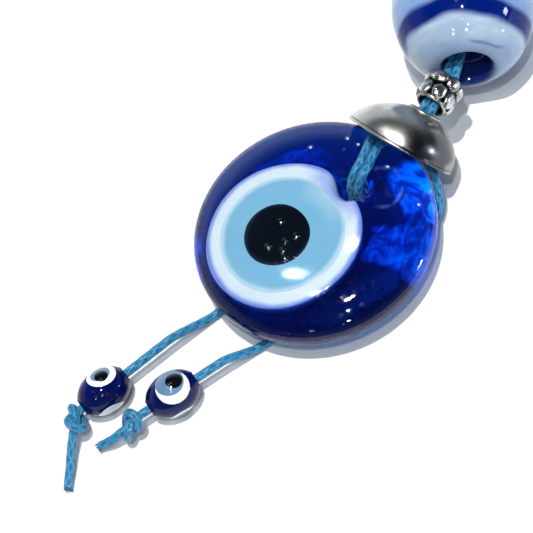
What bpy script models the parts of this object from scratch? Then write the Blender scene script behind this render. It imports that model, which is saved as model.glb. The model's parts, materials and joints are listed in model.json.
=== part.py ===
"""Evil eye ornament: a pierced glass disc hung from a beaded cord, laid on a table with its eye up.

Units are metres, +Z is up and the table is z = 0. +Y runs from the two tails to the hanging loop.
Shapes are worked out about the disc's middle, and a root empty then moves them to the frame's origin.
"""

import math

import bmesh
import bpy
import numpy as np
from mathutils import Matrix, Vector

MM = 0.001

# Clearances
GAP = 0.3 * MM  # between pieces that touch
KNOT_GAP = 0.45 * MM  # between the turns of a tight knot

# Cord, one waxed cotton cord doubled into the hanging loop
CORD_D = 1.8 * MM
CORD_SIDES = 2  # bevel resolution, eight sides
CORD_STEP = 3.6 * MM  # between the points of a plain run

# Glass disc
DISC_R = 25.0 * MM
DISC_T = 11.8 * MM
DISC_FLAT_R = 14.0 * MM  # flat of the back
DISC_FRONT_POWER = 3.2  # how far the front stays level before it rolls over
DISC_EDGE_POWER = 2.2

# Eye of three glass drops, each pressed into the one before
EYE_X = -2.4 * MM
EYE_Y = -5.5 * MM
EYE_WHITE_R = 15.9 * MM
EYE_WHITE_DEPTH = 2.1 * MM
EYE_IRIS_R = 12.8 * MM
EYE_IRIS_DEPTH = 1.4 * MM
EYE_PUPIL_R = 6.8 * MM
EYE_PUPIL_DEPTH = 0.7 * MM
EYE_PUPIL_SHIFT_X = -0.6 * MM
EYE_PUPIL_SHIFT_Y = -0.7 * MM

# Pierced hole
HOLE_X = 2.9 * MM
HOLE_Y = 10.6 * MM
HOLE_R = 3.0 * MM
HOLE_FLARE_R = 5.1 * MM
HOLE_FLARE_DEPTH = 4.0 * MM
HOLE_BACK_R = 3.8 * MM
HOLE_BACK_DEPTH = 1.6 * MM

# Domed bead cap over the disc's edge
CAP_R = 11.15 * MM
CAP_H = 8.2 * MM
CAP_WALL = 0.8 * MM
CAP_LIP = 0.2 * MM
CAP_LIP_H = 0.8 * MM
CAP_HOLE_R = 2.6 * MM
CAP_COLLAR_WALL = 0.6 * MM
CAP_COLLAR_H = 0.5 * MM
CAP_TILT = math.radians(23.0)  # apex up
CAP_LEAN = math.radians(4.0)  # towards +X
CAP_OFFSET = 4.0 * MM  # right of the line through the disc's middle
CAP_SEAT_GAP = 0.45 * MM

# Granulated spacer bead
SPACER_LENGTH = 7.2 * MM
SPACER_CORE_R = 3.7 * MM
SPACER_BORE_R = 2.6 * MM
SPACER_COLLAR_R = 3.3 * MM
SPACER_COLLAR_H = 0.9 * MM
SPACER_GRAIN_R = 1.45 * MM
SPACER_GRAIN_PROUD = 0.55 * MM
SPACER_GRAIN_COUNT = 7
SPACER_STANDOFF = 1.7 * MM  # above the cap's collar
SPACER_SHIFT = 1.1 * MM
SPACER_LEAN = math.radians(-3.0)
SPACER_DIP = math.radians(5.0)

# Swirled glass bead
SWIRL_R = 14.7 * MM
SWIRL_MOUTH_R = 5.5 * MM
SWIRL_THROAT_R = 2.8 * MM
SWIRL_THROAT_LENGTH = 9.0 * MM
SWIRL_CORE_WALL = 1.3 * MM
SWIRL_BAND_W = 2.6 * MM
SWIRL_BAND_DEPTH = 1.4 * MM
SWIRL_BAND_ANGLE = math.radians(62.0)  # from the near mouth
SWIRL_BAND_TILT = math.radians(8.0)
SWIRL_STANDOFF = 1.6 * MM
SWIRL_WAY = math.radians(-24.0)  # from the spacer to the bead's middle
SWIRL_LEAN = math.radians(-37.0)

# Hanging loop
LOOP_LENGTH = 47.0 * MM
LOOP_WIDTH = 15.0 * MM
LOOP_GAP = 0.5 * MM

# Tails and their beads
TAIL_EXIT_IN = 1.5 * MM  # inside the disc's rim
TAIL_TAPER = 0.5  # share of the cord's radius at its hinge
BEAD_R = 4.5 * MM
BEAD_LENGTH = 10.5 * MM
BEAD_END_R = 1.9 * MM
BEAD_BORE_R = 1.25 * MM
BEAD_EYE_DEPTH = (2.2 * MM, 1.25 * MM, 0.7 * MM)  # white, iris, pupil
BEAD_EYE_PROUD = 0.2 * MM

# Facets
ROUND_STEPS = 44
SMALL_STEPS = 20
BED_STEPS = 28

CORD_R = CORD_D / 2
UP = Vector((0, 0, 1))

# Levels and places worked out from the sizes above
CORD_Z = CORD_R + 0.05 * MM  # a cord lying on the table
BACK_Z = CORD_Z + CORD_R + GAP
MID_Z = BACK_Z + DISC_T / 2
FRONT_Z = BACK_Z + DISC_T


def heading(turn, rise=0.0):
    """Unit vector turned from +Y towards +X, then raised."""
    level = math.cos(rise)
    return Vector((math.sin(turn) * level, math.cos(turn) * level, math.sin(rise)))


def front_height(x, y):
    """Height of the disc's front face over a point."""
    share = min(math.hypot(x, y) / DISC_R, 1.0)
    rise = (1 - share**DISC_FRONT_POWER) ** (1 / DISC_EDGE_POWER)
    return MID_Z + DISC_T / 2 * rise


def over_front(x, y, lift=0.0):
    """A cord's middle lying on the disc's front."""
    return Vector((x, y, front_height(x, y) + CORD_R + GAP + lift))


# The cap stands on the table by its rim, and the disc's edge enters its mouth
CAP_AXIS = heading(CAP_LEAN, CAP_TILT)
CAP_Z = (CAP_R + CAP_LIP) * math.cos(CAP_TILT) + 0.05 * MM
CAP_IN_R = CAP_R - CAP_WALL
CAP_HALF = math.sqrt(CAP_IN_R**2 - ((CAP_Z - MID_Z) / math.cos(CAP_TILT)) ** 2)
CAP_CHORD = math.sqrt(DISC_R**2 - (CAP_HALF - CAP_OFFSET) ** 2) + CAP_SEAT_GAP
CAP_SIDE = heading(CAP_LEAN + math.pi / 2)
CAP_MOUTH = heading(CAP_LEAN) * (CAP_CHORD - (CAP_Z - MID_Z) * math.tan(CAP_TILT))
CAP_MOUTH = CAP_MOUTH + CAP_SIDE * CAP_OFFSET + UP * CAP_Z
CAP_TOP = CAP_MOUTH + CAP_AXIS * (CAP_H + CAP_COLLAR_H)

SPACER_AXIS = heading(SPACER_LEAN, -SPACER_DIP)
SPACER_NEAR = CAP_TOP + CAP_AXIS * SPACER_STANDOFF + CAP_SIDE * SPACER_SHIFT
SPACER_MID = SPACER_NEAR + SPACER_AXIS * (SPACER_LENGTH / 2)
SPACER_FAR = SPACER_NEAR + SPACER_AXIS * SPACER_LENGTH

SWIRL_AXIS = heading(SWIRL_LEAN)
SWIRL_MID = SPACER_FAR + heading(SWIRL_WAY) * (SWIRL_R + SWIRL_STANDOFF)
SWIRL_MID.z = SWIRL_R + 0.05 * MM
SWIRL_HALF = math.sqrt(SWIRL_R**2 - SWIRL_MOUTH_R**2)

# The knot fills the top of the cap, and the hanger swings about it
KNOT_MID = CAP_MOUTH + CAP_AXIS * (CAP_H - CAP_WALL - 2.0 * CORD_D)

# Each tail leaves from under the rim: polar angle, heading and knot heading from -Y towards -X, then lengths
LEFT_TAIL = {
    "exit": math.radians(24.0),
    "lean": math.radians(16.9),
    "bead": 29.4 * MM,
    "climb": 14.5 * MM,
    "neck": 0.6 * MM,
    "knot_lean": math.radians(-18.0),
    "knot_roll": math.radians(330.0),
    "free": (
        (2.6 * MM, 2.4 * MM, -1.0 * MM),
        (5.2 * MM, 5.2 * MM, -2.0 * MM),
        (7.8 * MM, 7.8 * MM, -2.9 * MM),
    ),
    "eye": Vector((0.0, 0.0, 1.0)),
    "eye_radii": (3.1 * MM, 2.0 * MM, 1.2 * MM),
    "eye_along": (-1.4 * MM, -1.4 * MM, -1.3 * MM),
    "eye_across": (0.0, -0.6 * MM, -0.25 * MM),
}
RIGHT_TAIL = {
    "exit": math.radians(-7.1),
    "lean": math.radians(22.7),
    "bead": 21.1 * MM,
    "climb": 10.5 * MM,
    "neck": 2.2 * MM,
    "knot_lean": math.radians(14.0),
    "knot_roll": math.radians(70.0),
    "free": ((2.4 * MM, -0.4 * MM, -1.2 * MM), (5.0 * MM, -1.4 * MM, -2.4 * MM)),
    "eye": Vector((0.315, -0.131, 0.927)),
    "eye_radii": (3.5 * MM, 2.5 * MM, 1.5 * MM),
    "eye_along": (-0.7 * MM, -0.9 * MM, -1.2 * MM),
    "eye_across": (0.0, -0.5 * MM, -0.5 * MM),
}


def tail_exit(tail):
    reach = DISC_R - TAIL_EXIT_IN
    return Vector((-math.sin(tail["exit"]) * reach, -math.cos(tail["exit"]) * reach, CORD_Z))


def tail_way(tail):
    return Vector((-math.sin(tail["lean"]), -math.cos(tail["lean"]), 0))


def bead_middle(tail):
    middle = tail_exit(tail) + tail_way(tail) * tail["bead"]
    middle.z = BEAD_R + 0.05 * MM
    return middle


# The frame's origin is under the middle of the rigid pieces
FAR_Y = SWIRL_MID.y + SWIRL_R
NEAR_Y = bead_middle(LEFT_TAIL).y - BEAD_LENGTH / 2 * math.cos(LEFT_TAIL["lean"])
NEAR_Y -= BEAD_END_R * math.sin(LEFT_TAIL["lean"])
HOME = Vector((0, -(FAR_Y + NEAR_Y) / 2, 0))


def cleared_scene():
    for old in list(bpy.data.objects):
        bpy.data.objects.remove(old, do_unlink=True)


def empty(name, place, axis=UP, parent=None):
    """Parent empty at a place given about the disc's middle, with its Z along axis."""
    rig = bpy.data.objects.new(name, None)
    rig.empty_display_size = 4 * MM
    bpy.context.scene.collection.objects.link(rig)
    turned_to = UP.rotation_difference(Vector(axis)).to_matrix().to_4x4()
    rig.matrix_world = Matrix.Translation(Vector(place) + HOME) @ turned_to
    if parent:
        kept = rig.matrix_world.copy()
        rig.parent = parent
        rig.matrix_parent_inverse = parent.matrix_world.inverted()
        rig.matrix_world = kept
    bpy.context.view_layer.update()
    return rig


def finish(name, colour, roughness, metallic=0.0, transmission=0.0):
    material = bpy.data.materials.new(name)
    material.use_nodes = True
    shader = material.node_tree.nodes["Principled BSDF"]
    shader.inputs["Base Color"].default_value = (*colour, 1)
    shader.inputs["Roughness"].default_value = roughness
    shader.inputs["Metallic"].default_value = metallic
    shader.inputs["Transmission Weight"].default_value = transmission
    return material


def added(name, data, rig, material=None):
    """Object on a rig empty, or a hidden cutter where it has no material."""
    thing = bpy.data.objects.new(name, data)
    bpy.context.scene.collection.objects.link(thing)
    thing.parent = rig
    if material:
        data.materials.append(material)
    else:
        thing.hide_render = True
        thing.display_type = "WIRE"
    return thing


def turned_mesh(name, profile, steps):
    """Closed solid turned about Z from a profile of (radius, height), down the outer side first."""
    solid = bmesh.new()
    touches_axis = profile[0][0] == 0
    rows = []
    for radius, height in profile:
        if radius == 0:
            rows.append([solid.verts.new((0, 0, height))])
            continue
        row = []
        for k in range(steps):
            angle = 2 * math.pi * k / steps
            row.append(solid.verts.new((radius * math.cos(angle), radius * math.sin(angle), height)))
        rows.append(row)
    pairs = list(zip(rows, rows[1:]))
    if not touches_axis:
        pairs.append((rows[-1], rows[0]))
    for above, below in pairs:
        for k in range(steps):
            j = (k + 1) % steps
            upper = [above[k % len(above)], above[j % len(above)]]
            lower = [below[j % len(below)], below[k % len(below)]]
            kept = list(dict.fromkeys(upper + lower))
            if len(kept) > 2:
                solid.faces.new(kept)
    bmesh.ops.recalc_face_normals(solid, faces=solid.faces)
    mesh = bpy.data.meshes.new(name)
    solid.to_mesh(mesh)
    solid.free()
    mesh.shade_smooth()
    mesh.set_sharp_from_angle(angle=math.radians(40))
    return mesh


def turned(name, profile, rig, material=None, steps=ROUND_STEPS, place=(0, 0, 0), axis=UP):
    thing = added(name, turned_mesh(name, profile, steps), rig, material)
    thing.location = place
    thing.rotation_euler = UP.rotation_difference(Vector(axis)).to_euler()
    return thing


def boolean(thing, other, operation="DIFFERENCE"):
    cut = thing.modifiers.new(operation.title(), "BOOLEAN")
    cut.operation = operation
    cut.solver = "EXACT"
    cut.object = other
    return cut


def arc(middle, radii, start, end, count):
    """Points of an elliptic arc in a profile."""
    angles = np.linspace(start, end, count)
    return [(middle[0] + radii[0] * math.cos(a), middle[1] + radii[1] * math.sin(a)) for a in angles]


def smooth_route(points, step=CORD_STEP):
    """Points at even steps along a smooth curve through a cord's own points."""
    knots = np.array([list(p) for p in points])
    ends = np.vstack([2 * knots[0] - knots[1], knots, 2 * knots[-1] - knots[-2]])
    t = np.linspace(0, 1, 24, endpoint=False)[:, None]
    curve = []
    for a, b, c, d in zip(ends, ends[1:], ends[2:], ends[3:]):
        even = 2 * b + (c - a) * t
        bend = (2 * a - 5 * b + 4 * c - d) * t**2 + (3 * b - a - 3 * c + d) * t**3
        curve.append((even + bend) / 2)
    curve = np.vstack(curve + [knots[-1:]])
    return evenly(curve, max(int(round(route_length(curve) / step)), 2) + 1)


def route_length(points):
    return float(np.linalg.norm(np.diff(points, axis=0), axis=1).sum())


def evenly(points, count):
    steps = np.linalg.norm(np.diff(points, axis=0), axis=1)
    along = np.concatenate([[0], np.cumsum(steps)])
    marks = np.linspace(0, along[-1], count)
    return np.stack([np.interp(marks, along, points[:, k]) for k in range(3)], axis=1)


def overhand_knot(count=40, length=12.5, rounds=900):
    """Centre line of a tight overhand knot in a cord of diameter 1, along X and from the origin.

    An open trefoil is drawn tight: its ends are pulled apart while its turns keep one diameter.
    """
    t = np.linspace(-2.12, 2.12, 400)
    line = evenly(np.stack([(t**5 - 10 * t) / 6, t**3 - 3 * t, t**4 - 4 * t**2], axis=1), count)
    line *= length / route_length(line)
    step = length / (count - 1)
    index = np.arange(count)
    apart = np.abs(index[:, None] - index[None, :]) * step > 1.9
    for _ in range(rounds):
        way = line[-1] - line[0]
        way /= np.linalg.norm(way)
        line[0] -= 0.02 * step * way
        line[-1] += 0.02 * step * way
        line[1:-1] += 0.04 * (line[:-2] + line[2:] - 2 * line[1:-1])
        for first in (0, 1) * 6:
            one = line[first:-1:2]
            two = line[first + 1 :: 2]
            link = two - one
            size = np.linalg.norm(link, axis=1, keepdims=True)
            shift = 0.5 * (size - step) / size * link
            line[first:-1:2] += shift
            line[first + 1 :: 2] -= shift
        offset = line[:, None] - line[None]
        size = np.linalg.norm(offset, axis=2)
        push = np.where(apart & (size < 1), (1 - size) / np.maximum(size, 1e-6), 0)
        line += 0.25 * (push[..., None] * offset).sum(axis=1)
    size = np.linalg.norm(line[:, None] - line[None], axis=2)
    least = float(size[apart].min())
    way = line[-1] - line[0]
    way /= np.linalg.norm(way)
    side = np.cross(way, [0, 0, 1])
    side /= np.linalg.norm(side)
    frame = np.stack([way, side, np.cross(way, side)], axis=1)
    return (line - line[0]) @ frame, least


KNOT_LINE, KNOT_LEAST = overhand_knot()
KNOT_CORD_D = KNOT_LEAST * CORD_D - KNOT_GAP
KNOT_HALF = KNOT_LINE[-1][0] / 2 * CORD_D
print(f"least gap of a knot's cord to itself: {(KNOT_LEAST * CORD_D - KNOT_CORD_D) / MM:.2f} mm")


def knot_route(start, way, roll):
    """The knot's points, set out along way from start and rolled about it."""
    way = Vector(way).normalized()
    side = way.cross(UP).normalized()
    frame = np.array([list(way), list(side), list(side.cross(way))])
    turn = np.array(Matrix.Rotation(roll, 3, "X"))
    return np.array(list(start)) + KNOT_LINE * CORD_D @ turn.T @ frame


def tube(name, points, rig, material, radii=None):
    """A cord's round solid along points given about the disc's middle."""
    line = bpy.data.curves.new(name, "CURVE")
    line.dimensions = "3D"
    line.bevel_depth = CORD_R
    line.bevel_resolution = CORD_SIDES
    line.use_fill_caps = True
    spline = line.splines.new("POLY")
    spline.points.add(len(points) - 1)
    back = rig.matrix_world.inverted()
    for k, point in enumerate(points):
        spline.points[k].co = (*(back @ (Vector(point) + HOME)), 1)
        spline.points[k].radius = 1.0 if radii is None else radii[k]
    return added(name, line, rig, material)


def disc_profile():
    front = []
    for k in range(9):
        share = math.sin(math.pi / 2 * k / 8)
        front.append((DISC_R * share, front_height(DISC_R * share, 0)))
    roll = (DISC_R - DISC_FLAT_R, MID_Z - BACK_Z)
    back = arc((DISC_FLAT_R, MID_Z), roll, 0, -math.pi / 2, 6)
    return front + back[1:] + [(0, BACK_Z)]


def drop_profile(radius):
    """A glass drop through the disc's front, before the front and the bed under it trim it."""
    head = FRONT_Z + 1.0 * MM
    return [(0, head), (radius, head), (radius, MID_Z), (0, MID_Z)]


def bed_profile(depth):
    """The front's own curve let down by a drop's depth, as the glass under the drop."""
    curve = []
    for k in range(7):
        reach = DISC_R * math.sin(math.pi / 2 * k / 7)
        curve.append((reach, front_height(reach, 0) - depth))
    return curve + [(curve[-1][0], BACK_Z), (0, BACK_Z)]


def hole_profile():
    """The pierced hole, flared where the glass was drawn in at the front."""
    flare = arc(
        (HOLE_FLARE_R, FRONT_Z - HOLE_FLARE_DEPTH),
        (HOLE_FLARE_R - HOLE_R, HOLE_FLARE_DEPTH),
        math.pi / 2,
        math.pi,
        8,
    )
    back = arc(
        (HOLE_BACK_R, BACK_Z + HOLE_BACK_DEPTH),
        (HOLE_BACK_R - HOLE_R, HOLE_BACK_DEPTH),
        math.pi,
        1.5 * math.pi,
        5,
    )
    past = 2.0 * MM
    above = [(0, FRONT_Z + past), (HOLE_FLARE_R, FRONT_Z + past)]
    below = [(HOLE_BACK_R, BACK_Z - past), (0, BACK_Z - past)]
    return above + flare + back + below


def make_disc(rig):
    """The glass disc with its pierced hole and the three layers of the eye."""
    blank = turned("disc_blank", disc_profile(), rig)
    eye = (EYE_X, EYE_Y, 0)
    pupil = (EYE_X + EYE_PUPIL_SHIFT_X, EYE_Y + EYE_PUPIL_SHIFT_Y, 0)
    hole = turned("hole_cutter", hole_profile(), rig, steps=SMALL_STEPS, place=(HOLE_X, HOLE_Y, 0))
    layers = [
        ("eye_white", eye, EYE_WHITE_R, EYE_WHITE_DEPTH, finish("white_glass", (0.82, 0.87, 0.93), 0.08)),
        ("eye_iris", eye, EYE_IRIS_R, EYE_IRIS_DEPTH, finish("pale_blue_glass", (0.21, 0.55, 0.8), 0.08)),
        ("eye_pupil", pupil, EYE_PUPIL_R, EYE_PUPIL_DEPTH, finish("black_glass", (0.004, 0.006, 0.01), 0.05)),
    ]
    cobalt = finish("cobalt_glass", (0.004, 0.02, 0.32), 0.03, transmission=0.8)
    carrier = turned("glass_disc", disc_profile(), rig, cobalt)
    for name, place, radius, depth, glass in layers:
        pocket = turned(f"{name}_pocket", drop_profile(radius + GAP), rig, place=place)
        boolean(pocket, turned(f"{name}_pocket_bed", bed_profile(depth + GAP), rig, steps=BED_STEPS))
        boolean(carrier, pocket)
        if name != "eye_pupil":
            boolean(carrier, hole)
        carrier = turned(name, drop_profile(radius), rig, glass, place=place)
        boolean(carrier, blank, "INTERSECT")
        boolean(carrier, turned(f"{name}_bed", bed_profile(depth), rig, steps=BED_STEPS))


def make_cap(rig):
    """Thin domed cap: mouth at its rig's origin, apex along +Z, with a collar round the cord's hole."""
    outer_end = math.acos((CAP_HOLE_R + CAP_COLLAR_WALL) / CAP_R)
    inner_h = CAP_H - CAP_WALL
    inner_end = math.acos(CAP_HOLE_R / CAP_IN_R)
    rise = CAP_H / math.sin(outer_end)
    inner_rise = inner_h / math.sin(inner_end)
    outer = arc((0, 0), (CAP_R, rise), math.asin(CAP_LIP_H / rise) + 0.06, outer_end, 9)
    inner = arc((0, 0), (CAP_IN_R, inner_rise), 0, inner_end, 9)
    collar_r = CAP_HOLE_R + CAP_COLLAR_WALL
    collar = [(CAP_HOLE_R, CAP_H + CAP_COLLAR_H), (collar_r, CAP_H + CAP_COLLAR_H)]
    lip = [(CAP_R + CAP_LIP, CAP_LIP_H), (CAP_R + CAP_LIP, 0)]
    profile = collar + outer[::-1] + lip + inner
    turned("bead_cap", profile, rig, finish("bright_silver", (0.72, 0.72, 0.7), 0.12, metallic=1.0), steps=36)


def make_spacer(rig):
    """Drum bead with two staggered rows of grains, cast in one with its end collars."""
    half = SPACER_LENGTH / 2
    waist = half - SPACER_COLLAR_H
    outer = [
        (SPACER_BORE_R, half),
        (SPACER_COLLAR_R - GAP, half),
        (SPACER_COLLAR_R, half - GAP),
        (SPACER_COLLAR_R, waist),
    ]
    barrel = arc((0, 0), (SPACER_CORE_R, waist * 1.35), math.asin(1 / 1.35), -math.asin(1 / 1.35), 7)
    profile = outer + barrel + [(r, -z) for r, z in outer[::-1]]
    silver = finish("antique_silver", (0.5, 0.5, 0.5), 0.25, metallic=1.0)
    bead = turned("spacer_bead", profile, rig, silver, steps=21)
    grains = bmesh.new()
    for row in (-1, 1):
        for k in range(SPACER_GRAIN_COUNT):
            angle = 2 * math.pi * (k + 0.25 * row) / SPACER_GRAIN_COUNT
            reach = SPACER_CORE_R + SPACER_GRAIN_PROUD - SPACER_GRAIN_R * 0.7
            middle = Vector((reach * math.cos(angle), reach * math.sin(angle), row * SPACER_GRAIN_R * 1.03))
            shape = Matrix.Diagonal((0.7, 1.0, 1.0, 1.0)) @ Matrix.Scale(SPACER_GRAIN_R, 4)
            place = Matrix.Translation(middle) @ Matrix.Rotation(angle, 4, "Z") @ shape
            bmesh.ops.create_uvsphere(grains, u_segments=8, v_segments=5, radius=1.0, matrix=place)
    mesh = bpy.data.meshes.new("spacer_grains")
    grains.to_mesh(mesh)
    grains.free()
    boolean(bead, added("spacer_grains", mesh, rig), "UNION")


def swirl_bore(extra=0.0):
    """Profile of the bead's bore from one end to the other: a straight throat that opens to a wide mouth."""
    throat = SWIRL_THROAT_LENGTH / 2
    span = SWIRL_HALF - throat

    def at(share):
        widen = (SWIRL_MOUTH_R - SWIRL_THROAT_R) * share**1.1
        return (SWIRL_THROAT_R + extra + widen, throat + span * share)

    inside, outside = 0.0, 1.5
    for _ in range(40):
        share = (inside + outside) / 2
        if math.hypot(*at(share)) < SWIRL_R:
            inside = share
        else:
            outside = share
    upper = [at(inside * k / 4) for k in (4, 3, 2, 1, 0)]
    return upper + [(r, -z) for r, z in upper[::-1]]


def make_swirl(rig):
    """Round bead: a blue glass core that lines the bore, a white casing and a blue band laid round it."""
    blue = finish("deep_blue_glass", (0.006, 0.02, 0.16), 0.06)
    white = finish("milk_glass", (0.72, 0.78, 0.85), 0.08)
    core = swirl_bore(SWIRL_CORE_WALL) + swirl_bore()[::-1]
    turned("swirl_core", core, rig, blue, steps=24)
    bed = swirl_bore(SWIRL_CORE_WALL + GAP)
    edge = math.atan2(bed[0][1], bed[0][0])
    face = arc((0, 0), (SWIRL_R, SWIRL_R), edge, -edge, 11)
    casing = turned("swirl_casing", face[:-1] + bed[::-1], rig, white, steps=36)
    band_axis = Vector((0, math.sin(SWIRL_BAND_TILT), -math.cos(SWIRL_BAND_TILT)))
    half = SWIRL_BAND_W / 2 / SWIRL_R
    clear = GAP / SWIRL_R

    def band_section(margin, top):
        start = math.pi / 2 - SWIRL_BAND_ANGLE + half + margin
        end = start - 2 * (half + margin)
        face = arc((0, 0), (top, top), start, end, 5)
        floor_r = SWIRL_R - SWIRL_BAND_DEPTH - margin * SWIRL_R
        return face + arc((0, 0), (floor_r, floor_r), end, start, 5)

    groove = turned("swirl_groove", band_section(clear, SWIRL_R + GAP), rig, axis=band_axis)
    boolean(casing, groove)
    turned("swirl_band", band_section(0.0, SWIRL_R), rig, blue, steps=36, axis=band_axis)


def make_tail_bead(side, tail, rig):
    """Oval glass bead on a tail, with a raised eye of three layers; its rig's Z lies along the cord."""
    half = BEAD_LENGTH / 2
    dark = finish(f"{side}_navy_glass", (0.005, 0.012, 0.1), 0.04)
    glasses = [
        finish(f"{side}_dot_white", (0.85, 0.87, 0.9), 0.08),
        finish(f"{side}_dot_grey_blue", (0.24, 0.38, 0.53), 0.08),
        finish(f"{side}_dot_black", (0.004, 0.005, 0.006), 0.05),
    ]

    def oval(proud):
        end = math.acos((BEAD_END_R + proud) / (BEAD_R + proud))
        rise = (half + proud) / math.sin(end)
        return arc((0, 0), (BEAD_R + proud, rise), end, -end, 11)

    bore = [(BEAD_BORE_R, half)]
    body = bore + oval(0) + [(r, -z) for r, z in bore]
    bead = turned(f"tail_bead_{side}", body, rig, dark, steps=26)
    proud = turned(f"{side}_proud", [(0, half)] + oval(BEAD_EYE_PROUD) + [(0, -half)], rig, steps=26)
    to_rig = rig.matrix_world.to_3x3().inverted()
    eye = to_rig @ tail["eye"]
    eye = Vector((eye.x, eye.y, 0)).normalized()
    along = to_rig @ tail_way(tail)
    across = eye.cross(along)
    carrier = bead
    for k, name in enumerate(("white", "iris", "pupil")):
        middle = along * tail["eye_along"][k] + across * tail["eye_across"][k]
        radius = tail["eye_radii"][k]
        foot = BEAD_R - BEAD_EYE_DEPTH[k]
        head = BEAD_R + 1.5 * MM
        wide = radius + GAP
        pocket = [(0, head), (wide, head), (wide, foot - GAP), (0, foot - GAP)]
        plug = [(0, head), (radius, head), (radius, foot), (0, foot)]
        seat = {"steps": SMALL_STEPS, "place": middle, "axis": eye}
        boolean(carrier, turned(f"{side}_{name}_pocket", pocket, rig, **seat))
        carrier = turned(f"tail_eye_{name}_{side}", plug, rig, glasses[k], **seat)
        boolean(carrier, proud, "INTERSECT")


def make_front_strands(rig, cotton):
    """Two strands from the cap's knot, over the disc's front and down the pierced hole."""
    spread = CORD_R + GAP / 2
    start = KNOT_MID - CAP_AXIS * (KNOT_HALF + CORD_R + 2 * GAP) - CAP_SIDE * 2.2 * MM + UP * 1.7 * CORD_R
    lip = HOLE_Y + HOLE_FLARE_R
    for side, sign in (("left", -1), ("right", 1)):
        x = HOLE_X + sign * spread
        apart = sign * GAP
        back = -sign * GAP
        route = [
            start + CAP_SIDE * sign * spread,
            over_front(x - 0.6 * MM + apart, lip + 6.8 * MM + back, 0.8 * MM),
            over_front(x - 1.1 * MM + apart, lip + 5.0 * MM + back, 0.3 * MM),
            over_front(x - 0.5 * MM + apart / 2, lip + 2.3 * MM, 0.15 * MM),
            over_front(x + 0.2 * MM + apart / 2, lip - 0.6 * MM, 0.15 * MM),
            Vector((x + 0.4 * MM, HOLE_Y + 0.5 * HOLE_FLARE_R, FRONT_Z + 0.1 * MM)),
            Vector((x + 0.1 * MM, HOLE_Y + 0.35 * HOLE_R, FRONT_Z - 0.55 * HOLE_FLARE_DEPTH)),
            Vector((x, HOLE_Y + 0.1 * HOLE_R, FRONT_Z - HOLE_FLARE_DEPTH)),
            Vector((x, HOLE_Y, MID_Z - 0.5 * MM)),
        ]
        tube(f"front_strand_{side}", smooth_route(route, CORD_STEP * 0.6), rig, cotton)


def make_back_runs(rig, cotton):
    """The cord behind the disc: from the hole to the left tail, up to the cap, and down to the right tail."""
    spread = CORD_R + GAP / 2
    drop = MID_Z - 0.5 * MM - GAP
    left_exit = tail_exit(LEFT_TAIL)
    right_exit = tail_exit(RIGHT_TAIL)
    left_end = left_exit - tail_way(LEFT_TAIL) * GAP / 2
    right_end = right_exit - tail_way(RIGHT_TAIL) * GAP / 2
    x = HOLE_X - spread
    left = [
        Vector((x, HOLE_Y, drop)),
        Vector((x - 0.1 * MM, HOLE_Y - 0.4 * MM, BACK_Z + 1.2 * MM)),
        Vector((x - 0.8 * MM, HOLE_Y - 2.4 * MM, CORD_Z + 0.15 * MM)),
        Vector((x - 2.6 * MM, HOLE_Y - 7.0 * MM, CORD_Z)),
        Vector((left_end.x * 0.55, left_end.y * 0.45, CORD_Z)),
        left_end - tail_way(LEFT_TAIL) * 5.0 * MM,
        left_end,
    ]
    x = HOLE_X + spread
    rim = CAP_MOUTH + CAP_AXIS.cross(CAP_SIDE).normalized() * (CAP_IN_R - CORD_R - 4 * GAP)
    outside = DISC_R + CORD_R + 2 * GAP
    up = [
        Vector((x, HOLE_Y, drop)),
        Vector((x + 0.1 * MM, HOLE_Y + 0.4 * MM, BACK_Z + 1.2 * MM)),
        Vector((x + 0.4 * MM, HOLE_Y + 2.4 * MM, CORD_Z + 0.15 * MM)),
        Vector((CAP_MOUTH.x - 1.0 * MM, DISC_R - 7.0 * MM, CORD_Z)),
        Vector((CAP_MOUTH.x - 0.6 * MM, DISC_R - 3.6 * MM, CORD_Z + 0.3 * MM)),
        rim,
        Vector((CAP_MOUTH.x, math.sqrt(outside**2 - CAP_MOUTH.x**2) + GAP, BACK_Z + 3.0 * MM)),
        Vector((KNOT_MID.x, max(KNOT_MID.y, outside), KNOT_MID.z - 2.3 * CORD_D)),
    ]
    edge = CAP_MOUTH + CAP_SIDE * CAP_IN_R
    bearing = math.atan2(edge.x, edge.y)

    def by_rim(turn, reach, height):
        """A point beside the disc's rim, turned on from the cap's right edge."""
        angle = bearing + math.radians(turn)
        return Vector((math.sin(angle) * reach, math.cos(angle) * reach, height))

    right = [
        KNOT_MID - CAP_AXIS * 1.5 * CORD_D + CAP_SIDE * 2.6 * CORD_D - UP * 0.6 * MM,
        by_rim(-3.0, outside - 0.5 * GAP, MID_Z + 1.0 * MM),
        by_rim(1.0, outside - GAP, MID_Z - 1.0 * MM),
        by_rim(6.0, DISC_R + CORD_R - GAP, BACK_Z + 2.7 * MM),
        by_rim(12.0, DISC_R - 0.8 * MM, BACK_Z + 1.0 * MM),
        Vector((DISC_R * 0.68, DISC_R * 0.48, CORD_Z + 0.35 * MM)),
        Vector((DISC_R * 0.6, DISC_R * 0.22, CORD_Z)),
        Vector((right_end.x + 7.0 * MM, right_end.y * 0.25, CORD_Z)),
        right_end - tail_way(RIGHT_TAIL) * 5.0 * MM,
        right_end,
    ]
    for name, route in (("back_run_left", left), ("back_run_up", up), ("back_run_right", right)):
        points = smooth_route(route, CORD_STEP * 0.7)
        radii = np.ones(len(points))
        if name != "back_run_up":
            radii[-1] = TAIL_TAPER
        tube(name, points, rig, cotton, radii)


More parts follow.
